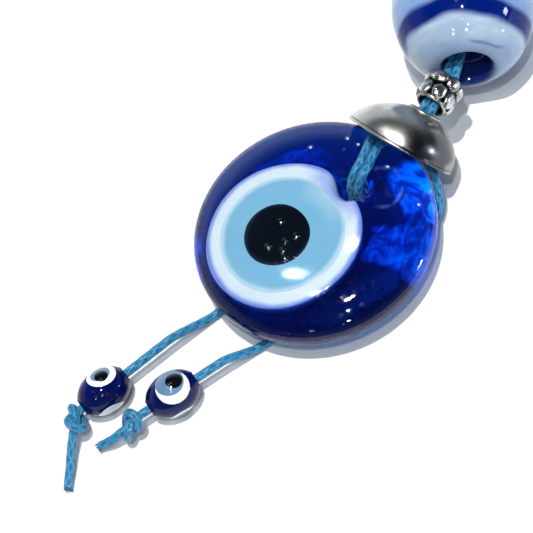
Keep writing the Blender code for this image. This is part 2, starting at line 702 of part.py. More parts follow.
def make_string(rig, cotton):
    """The cap's knot and the two strands that carry the cap, the spacer and the swirled bead."""
    knot = knot_route(KNOT_MID - CAP_AXIS * KNOT_HALF, CAP_AXIS, math.radians(40.0))
    tube("cap_knot", knot, rig, cotton, np.full(len(knot), KNOT_CORD_D / CORD_D))
    spread = CORD_R + GAP / 2
    throat = SWIRL_THROAT_LENGTH / 2
    begin = KNOT_MID + CAP_AXIS * (KNOT_HALF + CORD_R + GAP)
    swirl_side = heading(SWIRL_LEAN + math.pi / 2)
    spacer_side = heading(SPACER_LEAN + math.pi / 2)
    for side, sign in (("left", -1), ("right", 1)):
        aside = sign * spread
        route = [
            begin + CAP_SIDE * aside,
            CAP_TOP + CAP_SIDE * aside,
            SPACER_NEAR + spacer_side * aside,
            SPACER_MID + spacer_side * aside,
            SPACER_FAR + spacer_side * aside,
            SWIRL_MID - SWIRL_AXIS * (throat - 1.0 * MM) + swirl_side * aside,
            SWIRL_MID + swirl_side * aside,
            SWIRL_MID + SWIRL_AXIS * throat + swirl_side * aside,
            SWIRL_MID + SWIRL_AXIS * SWIRL_HALF + swirl_side * aside,
        ]
        tube(f"string_strand_{side}", smooth_route(route, CORD_STEP * 0.8), rig, cotton)


def make_loop(rig, cotton):
    """The doubled cord beyond the beads, drooping to the table as a teardrop loop."""
    side = heading(SWIRL_LEAN + math.pi / 2)
    start = SWIRL_MID + SWIRL_AXIS * (SWIRL_HALF + LOOP_GAP)
    spread = CORD_R + GAP / 2
    half = LOOP_WIDTH / 2
    # distance beyond the bead, half width and height of the right leg
    leg = [
        (0.0, spread, start.z),
        (3.0 * MM, spread, start.z - 0.3 * MM),
        (LOOP_LENGTH * 0.19, spread + 0.4 * MM, start.z * 0.74),
        (LOOP_LENGTH * 0.33, half * 0.42, start.z * 0.3),
        (LOOP_LENGTH * 0.47, half * 0.68, CORD_Z + 0.5 * MM),
        (LOOP_LENGTH * 0.66, half, CORD_Z),
        (LOOP_LENGTH * 0.88, half * 0.72, CORD_Z),
    ]
    route = []
    for reach, width, height in leg:
        point = start + SWIRL_AXIS * reach + side * width
        route.append(Vector((point.x, point.y, height)))
    tip = start + SWIRL_AXIS * LOOP_LENGTH
    route.append(Vector((tip.x, tip.y, CORD_Z)))
    for reach, width, height in leg[::-1]:
        point = start + SWIRL_AXIS * reach - side * width
        route.append(Vector((point.x, point.y, height)))
    points = smooth_route(route, CORD_STEP)
    radii = np.ones(len(points))
    radii[[0, -1]] = TAIL_TAPER
    tube("hanging_loop", points, rig, cotton, radii)


def make_tail(side, tail, rig, cotton):
    """A tail from under the disc: up to its bead's height, straight through the bead, knotted and cut."""
    begin = tail_exit(tail)
    way = tail_way(tail)
    aside = Vector((-way.y, way.x, 0))
    level = bead_middle(tail).z
    rise = level - CORD_Z
    climb = tail["climb"]
    knot_at = tail["bead"] + BEAD_LENGTH / 2 + tail["neck"]
    plain = [
        begin + way * GAP / 2,
        begin + way * climb * 0.22 + UP * rise * 0.07,
        begin + way * climb * 0.5 + UP * rise * 0.47,
        begin + way * climb * 0.8 + UP * rise * 0.93,
        begin + way * climb + UP * rise,
        begin + way * tail["bead"] + UP * rise,
        begin + way * knot_at + UP * rise,
    ]
    plain = smooth_route(plain, CORD_STEP * 0.7)
    turned_way = Vector((-math.sin(tail["knot_lean"]), -math.cos(tail["knot_lean"]), -0.1))
    knot = knot_route(plain[-1], turned_way, tail["knot_roll"])
    end = Vector(knot[-1])
    free = [knot[-2], knot[-1]]
    for reach, shift, drop in tail["free"]:
        point = end + way * reach + aside * shift + UP * drop
        free.append(Vector((point.x, point.y, max(point.z, CORD_Z))))
    free = smooth_route(free, CORD_STEP * 0.5)
    points = np.vstack([plain[:-1], knot, free[2:]])
    thin = KNOT_CORD_D / CORD_D
    radii = np.ones(len(points))
    radii[len(plain) - 1 : len(plain) - 1 + len(knot)] = thin
    radii[0] = TAIL_TAPER
    tube(f"tail_cord_{side}", points, rig, cotton, radii)


def main():
    cleared_scene()
    cotton = finish("turquoise_cotton", (0.05, 0.28, 0.47), 0.55)
    root = empty("ornament", (0, 0, 0))
    make_disc(root)
    make_front_strands(root, cotton)
    make_back_runs(root, cotton)

    hanger = empty("hanger_pivot", KNOT_MID, parent=root)
    make_string(hanger, cotton)
    make_cap(empty("cap_axis", CAP_MOUTH, CAP_AXIS, hanger))
    make_spacer(empty("spacer_axis", SPACER_MID, SPACER_AXIS, hanger))
    make_swirl(empty("swirl_axis", SWIRL_MID, SWIRL_AXIS, hanger))
    loop_start = SWIRL_MID + SWIRL_AXIS * (SWIRL_HALF + LOOP_GAP / 2)
    make_loop(empty("loop_pivot", loop_start, parent=hanger), cotton)

    for side, tail in (("left", LEFT_TAIL), ("right", RIGHT_TAIL)):
        pivot = empty(f"tail_{side}_pivot", tail_exit(tail), parent=root)
        make_tail(side, tail, pivot, cotton)
        make_tail_bead(side, tail, empty(f"bead_{side}_slide", bead_middle(tail), tail_way(tail), pivot))


main()
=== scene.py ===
"""Evil eye ornament dressed for its picture: glass, silver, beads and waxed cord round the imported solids.

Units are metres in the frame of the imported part: +Z is up, the table is z = 0,
and +Y runs from the tails to the loop.
"""

import json
import math

import bmesh
import bpy
import numpy as np
from mathutils import Matrix, Vector


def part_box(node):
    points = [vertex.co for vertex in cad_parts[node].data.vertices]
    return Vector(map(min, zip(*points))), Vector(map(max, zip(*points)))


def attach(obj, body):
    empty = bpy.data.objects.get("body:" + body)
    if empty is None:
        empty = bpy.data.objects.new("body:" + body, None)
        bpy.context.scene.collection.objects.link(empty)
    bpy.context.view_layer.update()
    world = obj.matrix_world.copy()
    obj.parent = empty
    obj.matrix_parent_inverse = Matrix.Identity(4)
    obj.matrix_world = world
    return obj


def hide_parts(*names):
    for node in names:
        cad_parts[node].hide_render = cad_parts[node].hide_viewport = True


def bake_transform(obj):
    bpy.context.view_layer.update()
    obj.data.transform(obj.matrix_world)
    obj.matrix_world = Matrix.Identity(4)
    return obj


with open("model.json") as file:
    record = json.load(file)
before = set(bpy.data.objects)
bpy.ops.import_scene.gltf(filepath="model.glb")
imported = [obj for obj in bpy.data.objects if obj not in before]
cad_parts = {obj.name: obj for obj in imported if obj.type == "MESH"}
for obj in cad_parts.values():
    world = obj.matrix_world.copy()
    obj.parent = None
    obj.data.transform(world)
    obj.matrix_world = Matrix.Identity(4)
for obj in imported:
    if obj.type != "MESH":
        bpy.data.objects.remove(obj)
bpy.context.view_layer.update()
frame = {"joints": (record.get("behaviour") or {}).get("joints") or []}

MM = 0.001
UP = Vector((0, 0, 1))
JOINTS = {joint["name"]: joint for joint in frame["joints"]}

# Disc and eye, about the disc's middle
DISC_R = 25.0 * MM
DISC_T = 11.8 * MM
DISC_FLAT_R = 14.0 * MM
DISC_FRONT_POWER = 3.2
DISC_EDGE_POWER = 2.2
BACK_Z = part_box("glass_disc")[0].z
MID_Z = BACK_Z + DISC_T / 2
FRONT_Z = BACK_Z + DISC_T
HOLE = Vector((2.9 * MM, 10.6 * MM))
HOLE_R = 3.0 * MM
HOLE_FLARE = 2.1 * MM
HOLE_FLARE_DEPTH = 4.0 * MM
HOLE_BACK_FLARE = 0.8 * MM
HOLE_BACK_DEPTH = 1.6 * MM
DENT_R = 7.2 * MM  # shallow hollow drawn in round the hole
DENT_DEPTH = 0.45 * MM
EAR = Vector((7.2 * MM, 14.6 * MM))  # firmer hollow beside it
EAR_R = 6.0 * MM
EAR_DEPTH = 0.5 * MM
EYE = Vector((-2.4 * MM, -5.5 * MM))
EYE_WHITE_R = 15.9 * MM
EYE_WHITE_DEPTH = 2.1 * MM
EYE_IRIS_R = 12.8 * MM
EYE_IRIS_DEPTH = 1.4 * MM
EYE_PUPIL_R = 6.8 * MM
EYE_PUPIL_DEPTH = 0.7 * MM
EYE_PUPIL_SHIFT = Vector((-0.6 * MM, -0.7 * MM))
# Low blisters in the pupil, from its middle in mm
BLISTERS = ((-1.2, 2.6), (-0.2, -3.3), (2.2, -0.6), (2.9, -2.5), (4.3, -3.6), (3.5, 1.5))
BLISTER_R = 0.8 * MM
BLISTER_H = 0.19 * MM

# Cap
CAP_R = 11.15 * MM
CAP_H = 8.2 * MM
CAP_WALL = 0.8 * MM
CAP_LIP = 0.15 * MM
CAP_LIP_H = 0.55 * MM
CAP_HOLE_R = 2.6 * MM
CAP_COLLAR_WALL = 0.6 * MM
CAP_COLLAR_H = 0.5 * MM
CAP_COLLAR_DROP = 0.1 * MM  # its collar is rolled over this much lower
CAP_COLLAR_FLARE = 0.35 * MM
CAP_OVAL = 0.06
CAP_RIM_SHIFT = -0.45 * MM
CAP_TOP_SHIFT = 0.9 * MM

# Spacer bead
SPACER_LENGTH = 7.2 * MM
SPACER_CORE_R = 3.7 * MM
SPACER_BORE_R = 2.6 * MM
SPACER_COLLAR_R = 3.3 * MM
SPACER_COLLAR_H = 0.9 * MM
SPACER_GRAIN_R = 1.62 * MM
SPACER_GRAIN_PROUD = 0.55 * MM
SPACER_GRAIN_COUNT = 7
SPACER_SHORT = 0.8 * MM  # its collar towards the ball is lower
SPACER_SLIP = 0.26 * MM  # it lies this much towards the cap

# Swirled bead
SWIRL_R = 14.7 * MM
SWIRL_MOUTH_R = 5.5 * MM
SWIRL_THROAT_R = 2.8 * MM
SWIRL_THROAT_LENGTH = 9.0 * MM
SWIRL_HALF = math.sqrt(SWIRL_R**2 - SWIRL_MOUTH_R**2)
SWIRL_ROLL = 0.15
SWIRL_STRETCH = 1.07  # the ball was drawn out a little along its bore
SWIRL_SAG = Vector((0.15, -0.3, -0.2)) * MM  # its near mouth was drawn further, and down
SWIRL_SPREAD = 0.02  # and opened by this share

# Cord, loop and tails
CORD_D = 1.8 * MM
CORD_R = CORD_D / 2
CORD_Z = JOINTS["tail_left_swing"]["pos_m"][2]
CORD_GAP = 0.06 * MM  # between strands that lie side by side
STRAND_ASIDE = CORD_R + CORD_GAP / 2  # of each strand from the middle of the pair
TAIL_OVERLAP = 4.0 * MM  # of a tail's tube under the disc, before its hinge
LOOP_OVERLAP = 4.0 * MM  # of the loop's tube inside the swirled bead
LOOP_LENGTH = 47.0 * MM
LOOP_WIDTH = 15.0 * MM
BEAD_R = 4.5 * MM
BEAD_LENGTH = 10.5 * MM
BEAD_END_R = 1.9 * MM
BEAD_BORE_R = 1.25 * MM
TAILS = {
    "left": {
        "climb": 14.5 * MM,
        "neck": 0.6 * MM,
        "knot_lean": math.radians(-18.0),
        "knot_roll": math.radians(330.0),
        "free": ((2.6, 2.4, -1.0), (5.2, 5.2, -2.0), (7.8, 7.8, -2.9)),
        "eye": Vector((-0.32, 0.12, 0.94)),
        "eye_radii": (3.1, 2.0, 1.35),
        "eye_along": (-1.4, -1.4, -1.3),
        "eye_across": (0.0, 0.1, 0.9),
        "second_eye": math.radians(-140.0),
        "second_along": 2.4,
    },
    "right": {
        "climb": 10.5 * MM,
        "neck": 3.0 * MM,
        "knot_lean": math.radians(14.0),
        "knot_roll": math.radians(70.0),
        "free": ((2.4, -0.4, -1.2), (5.0, -1.4, -2.4)),
        "eye": Vector((0.16, -0.07, 0.98)),
        "eye_radii": (3.5, 2.9, 1.7),
        "eye_along": (-0.7, -0.7, -1.6),
        "eye_across": (0.0, -1.0, -0.75),
        "second_eye": math.radians(-130.0),
        "second_along": 1.1,
    },
}


def joint_place(name):
    return Vector(JOINTS[name]["pos_m"])


def joint_axis(name):
    return Vector(JOINTS[name]["axis"]).normalized()


def middle_of(node):
    low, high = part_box(node)
    return (low + high) / 2


HOME = middle_of("glass_disc")
HOME.z = 0.0
KNOT_MID = joint_place("hanger_lift")
CAP_MOUTH = joint_place("cap_turn")
CAP_AXIS = joint_axis("cap_turn")
CAP_SIDE = CAP_AXIS.cross(UP).normalized()
CAP_TOP = CAP_MOUTH + CAP_AXIS * (CAP_H + CAP_COLLAR_H)
SPACER_MID = joint_place("spacer_spin")
SPACER_AXIS = joint_axis("spacer_spin")
SWIRL_MID = joint_place("swirl_spin")
SWIRL_AXIS = joint_axis("swirl_spin")


def on_disc(x, y, z):
    """A place given about the disc's middle."""
    return Vector((x, y, z)) + HOME


def standing(place, axis):
    """Matrix that sets a piece's own Z along axis at a place."""
    return Matrix.Translation(place) @ UP.rotation_difference(axis).to_matrix().to_4x4()


# Meshes

OWN_PLACE = "own_place"


def grid_mesh(name, points, wrap_rows=False, lengths=None):
    """Smooth quads over closed rows of points, with a UV map round each row and along by lengths."""
    rows, columns = points.shape[:2]
    lengths = np.linspace(0, 1, rows + 1) if lengths is None else np.append(lengths, lengths[-1])
    index = np.arange(rows * columns).reshape(rows, columns)
    beside = np.roll(index, -1, axis=1)
    quads = np.stack([index, beside, np.roll(beside, -1, axis=0), np.roll(index, -1, axis=0)], axis=2)
    count = rows if wrap_rows else rows - 1
    quads = quads[:count].reshape(-1, 4)
    mesh = bpy.data.meshes.new(name)
    mesh.from_pydata(points.reshape(-1, 3), [], quads.tolist())
    u = np.arange(columns)[None, :, None] + np.array([0, 1, 1, 0])[None, None, :]
    v = np.stack([lengths[:count], lengths[:count], lengths[1 : count + 1], lengths[1 : count + 1]], axis=1)
    u = np.broadcast_to(u / columns, (count, columns, 4))
    v = np.broadcast_to(v[:, None, :], (count, columns, 4))
    layer = mesh.uv_layers.new(name="round_and_along")
    layer.data.foreach_set("uv", np.stack([u, v], axis=3).astype(np.float32).ravel())
    outward(mesh)
    return mesh


def outward(mesh):
    """Turns a mesh's faces outwards and shades it smooth."""
    work = bmesh.new()
    work.from_mesh(mesh)
    bmesh.ops.recalc_face_normals(work, faces=work.faces)
    work.to_mesh(mesh)
    work.free()
    mesh.shade_smooth()


def placed(name, mesh, finish, body, nodes, matrix=None):
    """Object of a mesh set in place, which rides on a body and stands for CAD nodes.

    The mesh keeps its points as they were before, so that a finish can follow the piece's own axis.
    """
    own = np.zeros(len(mesh.vertices) * 3, np.float32)
    mesh.vertices.foreach_get("co", own)
    mesh.attributes.new(OWN_PLACE, "FLOAT_VECTOR", "POINT").data.foreach_set("vector", own)
    if matrix:
        mesh.transform(matrix)
    mesh.materials.append(finish)
    piece = bpy.data.objects.new(name, mesh)
    bpy.context.scene.collection.objects.link(piece)
    bpy.context.view_layer.update()
    if body:
        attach(piece, body)
    if nodes:
        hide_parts(*nodes)
    return piece


def turned_mesh(name, profile, steps=128):
    """Ring-shaped solid turned about Z from a closed profile of (radius, height)."""
    profile = np.array(profile)
    angles = np.linspace(0, 2 * math.pi, steps, endpoint=False)
    points = np.zeros((len(profile), steps, 3))
    points[:, :, 0] = profile[:, :1] * np.cos(angles)
    points[:, :, 1] = profile[:, :1] * np.sin(angles)
    points[:, :, 2] = profile[:, 1:]
    return grid_mesh(name, points, wrap_rows=True)


def arc(middle, radii, start, end, count):
    """Points of an elliptic arc in a profile."""
    angles = np.linspace(start, end, count)
    return [(middle[0] + radii[0] * math.cos(a), middle[1] + radii[1] * math.sin(a)) for a in angles]


# Cord routes


def route_length(points):
    return float(np.linalg.norm(np.diff(points, axis=0), axis=1).sum())


def evenly(points, count):
    steps = np.linalg.norm(np.diff(points, axis=0), axis=1)
    along = np.concatenate([[0], np.cumsum(steps)])
    marks = np.linspace(0, along[-1], count)
    return np.stack([np.interp(marks, along, points[:, k]) for k in range(3)], axis=1)


def smooth_route(points, step=0.3 * MM):
    """Points at even steps along a smooth curve through a cord's own points."""
    knots = np.array([list(p) for p in points])
    ends = np.vstack([2 * knots[0] - knots[1], knots, 2 * knots[-1] - knots[-2]])
    t = np.linspace(0, 1, 24, endpoint=False)[:, None]
    curve = []
    for a, b, c, d in zip(ends, ends[1:], ends[2:], ends[3:]):
        even = 2 * b + (c - a) * t
        bend = (2 * a - 5 * b + 4 * c - d) * t**2 + (3 * b - a - 3 * c + d) * t**3
        curve.append((even + bend) / 2)
    curve = np.vstack(curve + [knots[-1:]])
    return evenly(curve, max(int(round(route_length(curve) / step)), 2) + 1)


def eased(points, rounds=6):
    """A route with its kinks worn away and its ends kept."""
    points = points.copy()
    for _ in range(rounds):
        points[1:-1] += 0.25 * (points[:-2] + points[2:] - 2 * points[1:-1])
    return points


def overhand_knot(count=72, length=12.5, rounds=900):
    """Centre line of a tight overhand knot in a cord of diameter 1, along X and from the origin.

    An open trefoil is drawn tight: its ends are pulled apart while its turns keep one diameter.
    """
    t = np.linspace(-2.12, 2.12, 400)
    line = evenly(np.stack([(t**5 - 10 * t) / 6, t**3 - 3 * t, t**4 - 4 * t**2], axis=1), count)
    line *= length / route_length(line)
    step = length / (count - 1)
    index = np.arange(count)
    apart = np.abs(index[:, None] - index[None, :]) * step > 1.9
    for _ in range(rounds):
        way = line[-1] - line[0]
        way /= np.linalg.norm(way)
        line[0] -= 0.02 * step * way
        line[-1] += 0.02 * step * way
        line[1:-1] += 0.04 * (line[:-2] + line[2:] - 2 * line[1:-1])
        for first in (0, 1) * 6:
            one = line[first:-1:2]
            two = line[first + 1 :: 2]
            link = two - one
            size = np.linalg.norm(link, axis=1, keepdims=True)
            shift = 0.5 * (size - step) / size * link
            line[first:-1:2] += shift
            line[first + 1 :: 2] -= shift
        offset = line[:, None] - line[None]
        size = np.linalg.norm(offset, axis=2)
        push = np.where(apart & (size < 1), (1 - size) / np.maximum(size, 1e-6), 0)
        line += 0.25 * (push[..., None] * offset).sum(axis=1)
    way = line[-1] - line[0]
    way /= np.linalg.norm(way)
    side = np.cross(way, [0, 0, 1])
    side /= np.linalg.norm(side)
    return (line - line[0]) @ np.stack([way, side, np.cross(way, side)], axis=1)


KNOT_LINE = overhand_knot()
KNOT_HALF = KNOT_LINE[-1][0] / 2 * CORD_D


def knot_route(start, way, roll):
    """The knot's points, set out along way from start and rolled about it."""
    way = Vector(way).normalized()
    side = way.cross(UP).normalized()
    axes = np.array([list(way), list(side), list(side.cross(way))])
    turn = np.array(Matrix.Rotation(roll, 3, "X"))
    return np.array(list(start)) + KNOT_LINE * CORD_D @ turn.T @ axes


PLAIT_STRANDS = 4  # of each hand, seen round the cord
PLAIT_PITCH = 3.0 * MM
PLAIT_RELIEF = 0.03
CORD_SIDES = 24
FRAY_COUNT = 30
FRAY_LENGTH = 1.25 * MM
FRAY_R = 0.12 * MM


def cord_mesh(name, points, radius=CORD_R, count=CORD_SIDES):
    """Plaited cord along points: a tube whose surface rises with the plait, rounded at both ends."""
    points = np.asarray(points)
    ways = np.gradient(points, axis=0)
    ways /= np.linalg.norm(ways, axis=1, keepdims=True)
    side = np.cross(ways[0], [0.31, 0.17, 0.94])
    sides = []
    for way in ways:
        side = side - way * side.dot(way)
        side /= np.linalg.norm(side)
        sides.append(side)
    sides = np.array(sides)
    thirds = np.cross(ways, sides)
    steps = np.linalg.norm(np.diff(points, axis=0), axis=1)
    along = np.concatenate([[0], np.cumsum(steps)])
    angles = np.linspace(0, 2 * math.pi, count, endpoint=False)
    turn = PLAIT_STRANDS * angles[None]
    wind = 2 * math.pi * along[:, None] / PLAIT_PITCH
    relief = np.maximum(np.cos(turn + wind), np.cos(turn - wind)) - 0.45
    reach = radius * (1 + PLAIT_RELIEF * relief)[..., None]
    ring = np.cos(angles)[None, :, None] * sides[:, None] + np.sin(angles)[None, :, None] * thirds[:, None]
    rows = points[:, None] + reach * ring
    caps = []
    for end, sign in ((0, -1), (-1, 1)):
        for share, out in ((0.75, 0.16), (0.05, 0.24)):
            middle = points[end] + sign * out * radius * ways[end]
            caps.append(middle + (rows[end] - points[end]) * share)
    rows = np.concatenate([[caps[1]], [caps[0]], rows, [caps[2]], [caps[3]]])
    along = np.concatenate([[along[0]] * 2, along, [along[-1]] * 2])
    return grid_mesh(name, rows, lengths=along / MM)


# Shader nodes


def material(name):
    """A new material with its Principled BSDF."""
    made = bpy.data.materials.new(name)
    made.use_nodes = True
    return made, made.node_tree, made.node_tree.nodes["Principled BSDF"]


def node(tree, kind, **inputs):
    """A node with its inputs set by name, or linked where a socket is given."""
    made = tree.nodes.new(kind)
    for key, value in inputs.items():
        feed(tree, made.inputs[key.replace("_", " ")], value)
    return made


def feed(tree, socket, value):
    if isinstance(value, bpy.types.NodeSocket):
        tree.links.new(value, socket)
    else:
        socket.default_value = value


def math_node(tree, operation, *values):
    made = tree.nodes.new("ShaderNodeMath")
    made.operation = operation
    for socket, value in zip(made.inputs, values):
        feed(tree, socket, value)
    return made.outputs[0]


def vector_node(tree, operation, first, second=None):
    """Vector sum, whose answer is a number for a length, a distance or a dot product."""
    made = node(tree, "ShaderNodeVectorMath", Vector=first)
    made.operation = operation
    if second is not None:
        made.inputs[1].default_value = second
    number = operation in ("LENGTH", "DISTANCE", "DOT_PRODUCT")
    return made.outputs["Value" if number else "Vector"]


def parts_of(tree, vector):
    return node(tree, "ShaderNodeSeparateXYZ", Vector=vector).outputs


def mixed(tree, share, first, second, blend="MIX"):
    """Colour mix of first and second by share."""
    made = tree.nodes.new("ShaderNodeMix")
    made.data_type = "RGBA"
    made.blend_type = blend
    feed(tree, made.inputs["Factor"], share)
    colours = [socket for socket in made.inputs if socket.type == "RGBA"]
    for socket, value in zip(colours, (first, second)):
        feed(tree, socket, (*value, 1) if isinstance(value, tuple) else value)
    return [socket for socket in made.outputs if socket.type == "RGBA"][0]


def ramp(tree, value, stops):
    """Colour ramp over (position, colour) stops, with smooth steps."""
    made = tree.nodes.new("ShaderNodeValToRGB")
    made.color_ramp.interpolation = "EASE"
    elements = made.color_ramp.elements
    while len(elements) < len(stops):
        elements.new(0.5)
    for element, (place, colour) in zip(elements, stops):
        element.position = place
        element.color = (*colour, 1)
    feed(tree, made.inputs["Fac"], value)
    return made.outputs["Color"]


def grade(tree, value, low, high, to_low=0.0, to_high=1.0):
    """Smoothly maps value from low..high to to_low..to_high."""
    made = tree.nodes.new("ShaderNodeMapRange")
    made.interpolation_type = "SMOOTHSTEP"
    for socket, number in zip(made.inputs, (value, low, high, to_low, to_high)):
        feed(tree, socket, number)
    return made.outputs[0]


def own_place(tree):
    """Coordinates in the piece's own frame."""
    made = tree.nodes.new("ShaderNodeAttribute")
    made.attribute_name = OWN_PLACE
    return made.outputs["Vector"]


def noise(tree, place, scale, detail=3.0, roughness=0.5):
    made = node(tree, "ShaderNodeTexNoise", Vector=place, Scale=scale, Detail=detail, Roughness=roughness)
    return made.outputs["Fac"]


def bumped(tree, height, distance, strength=1.0, normal=None):
    made = node(tree, "ShaderNodeBump", Height=height, Distance=distance, Strength=strength)
    if normal:
        feed(tree, made.inputs["Normal"], normal)
    return made.outputs["Normal"]


def spotted(tree, place, spots, radius, height):
    """Rises to height at each of the spots, which are in the piece's own frame."""
    total = 0.0
    for spot in spots:
        away = vector_node(tree, "DISTANCE", place, spot)
        total = math_node(tree, "ADD", total, grade(tree, away, 0.0, radius, height, 0.0))
    return total


def new_group(name, inputs, outputs):
    """Empty shader group: (tree, its input sockets by name, its output node)."""
    tree = bpy.data.node_groups.new(name, "ShaderNodeTree")
    for key, kind, value in inputs:
        socket = tree.interface.new_socket(key, in_out="INPUT", socket_type=kind)
        if value is not None:
            socket.default_value = value
    for key, kind in outputs:
        tree.interface.new_socket(key, in_out="OUTPUT", socket_type=kind)
    source = tree.nodes.new("NodeGroupInput")
    sink = tree.nodes.new("NodeGroupOutput")
    return tree, source.outputs, sink.inputs


def placed_group(tree, group, **inputs):
    made = tree.nodes.new("ShaderNodeGroup")
    made.node_tree = group
    for key, value in inputs.items():
        feed(tree, made.inputs[key.replace("_", " ")], value)
    return made.outputs


FLOAT = "NodeSocketFloat"
VECTOR = "NodeSocketVector"


def glass_flow_group():
    """Hand-worked glass: a slow waviness of the surface and small seeds and smears in its gloss."""
    tree, source, sink = new_group(
        "glass_flow",
        [("Place", VECTOR, None), ("Scale", FLOAT, 60.0), ("Gloss", FLOAT, 0.04), ("Pits", FLOAT, 0.3)],
        [("Height", FLOAT), ("Roughness", FLOAT), ("Cloud", FLOAT)],
    )
    slow = noise(tree, source["Place"], source["Scale"], 1.5, 0.4)
    fine = noise(tree, source["Place"], math_node(tree, "MULTIPLY", source["Scale"], 9.0), 4.0, 0.6)
    smear = grade(tree, fine, 0.52, 0.75)
    cells = node(tree, "ShaderNodeTexVoronoi", Vector=source["Place"], Scale=460.0)
    pit = grade(tree, cells.outputs["Distance"], 0.02, 0.2, 1.0, 0.0)
    few = grade(tree, parts_of(tree, cells.outputs["Color"])["X"], 0.5, 0.52)
    height = math_node(tree, "MULTIPLY_ADD", fine, 0.05, slow)
    pit = math_node(tree, "MULTIPLY", math_node(tree, "MULTIPLY", pit, few), source["Pits"])
    tree.links.new(math_node(tree, "SUBTRACT", height, pit), sink["Height"])
    tree.links.new(math_node(tree, "MULTIPLY_ADD", smear, 0.12, source["Gloss"]), sink["Roughness"])
    tree.links.new(slow, sink["Cloud"])
    return tree


def metal_wear_group():
    """Handled silver: cloudy tarnish, fine scratches and a roughness that follows them."""
    tree, source, sink = new_group(
        "metal_wear",
        [("Place", VECTOR, None), ("Scale", FLOAT, 90.0), ("Gloss", FLOAT, 0.12)],
        [("Tarnish", FLOAT), ("Roughness", FLOAT), ("Height", FLOAT)],
    )
    cloud = noise(tree, source["Place"], source["Scale"], 4.0, 0.6)
    stretch = node(tree, "ShaderNodeMapping", Vector=source["Place"], Scale=(1.0, 1.0, 14.0))
    stretch.inputs["Rotation"].default_value = (0.6, 0.9, 0.3)
    scratch = noise(tree, stretch.outputs[0], math_node(tree, "MULTIPLY", source["Scale"], 8.0), 2.0, 0.7)
    tarnish = grade(tree, cloud, 0.42, 0.72)
    tree.links.new(tarnish, sink["Tarnish"])
    rough = math_node(tree, "MULTIPLY_ADD", tarnish, 0.1, source["Gloss"])
    scratched = grade(tree, scratch, 0.55, 0.8)
    tree.links.new(math_node(tree, "MULTIPLY_ADD", scratched, 0.12, rough), sink["Roughness"])
    tree.links.new(math_node(tree, "MULTIPLY_ADD", scratch, 0.3, cloud), sink["Height"])
    return tree


GLASS_FLOW = glass_flow_group()
METAL_WEAR = metal_wear_group()


# Finishes

# Blue streak on the milky ball: from its middle to the streak, and across the streak
STREAK_WAY = (0.774, -0.524, 0.354)
STREAK_ACROSS = (-0.245, 0.886, 0.393)
# Low blisters on the disc's front, each with a painted glint in its emission, from its middle in mm
DISC_BLISTERS_AND_GLINTS = ((-4.1, 19.0), (-1.3, 18.9), (6.8, 17.7), (17.0, 13.8), (-9.3, 13.4))
# Fold of the glass beside the hole: its middle and radius
FOLD = (8.5 * MM, 13.0 * MM)
FOLD_R = 4.6 * MM
# Painted glints on the milky ball, as small white spots in its colour, from its middle in mm
BALL_PAINTED_GLINTS = ((6.6, -10.6, 9.5), (8.5, -8.6, 9.75), (4.6, -14.0, 6.85), (13.3, -3.8, 6.4))
# Small blisters on a tail bead, in its own frame in mm
BEAD_BLISTERS = ((2.3, 3.6, 1.7), (3.4, 2.9, 0.7), (3.85, 2.3, -0.1), (3.05, 2.95, 1.9))
# Painted glow in the disc's emission, in streaks: middle and half width of their angle in degrees, inner and
# outer reach, strength
PAINTED_GLOWS = (
    (52.0, 34.0, 14.5 * MM, 25.5 * MM, 1.0),
    (22.0, 32.0, 8.5 * MM, 24.5 * MM, 0.62),
    (146.0, 42.0, 13.5 * MM, 21.0 * MM, 0.4),
    (-136.0, 26.0, 20.5 * MM, 26.5 * MM, 0.55),
)
# Colours of that painted glow and of the cord, from dark to bright
PAINTED_GLOW_STOPS = (
    (0.0, (0.0, 0.004, 0.022)),
    (0.3, (0.0, 0.05, 0.25)),
    (0.6, (0.0, 0.19, 0.55)),
    (1.0, (0.03, 0.5, 0.95)),
)
CORD_STOPS = (
    (0.0, (0.003, 0.075, 0.17)),
    (0.35, (0.008, 0.16, 0.34)),
    (0.7, (0.018, 0.24, 0.46)),
    (1.0, (0.1, 0.44, 0.66)),
)


def flat_length(tree, place):
    """Distance from the piece's own Z axis."""
    return vector_node(tree, "LENGTH", vector_node(tree, "MULTIPLY", place, (1, 1, 0)))


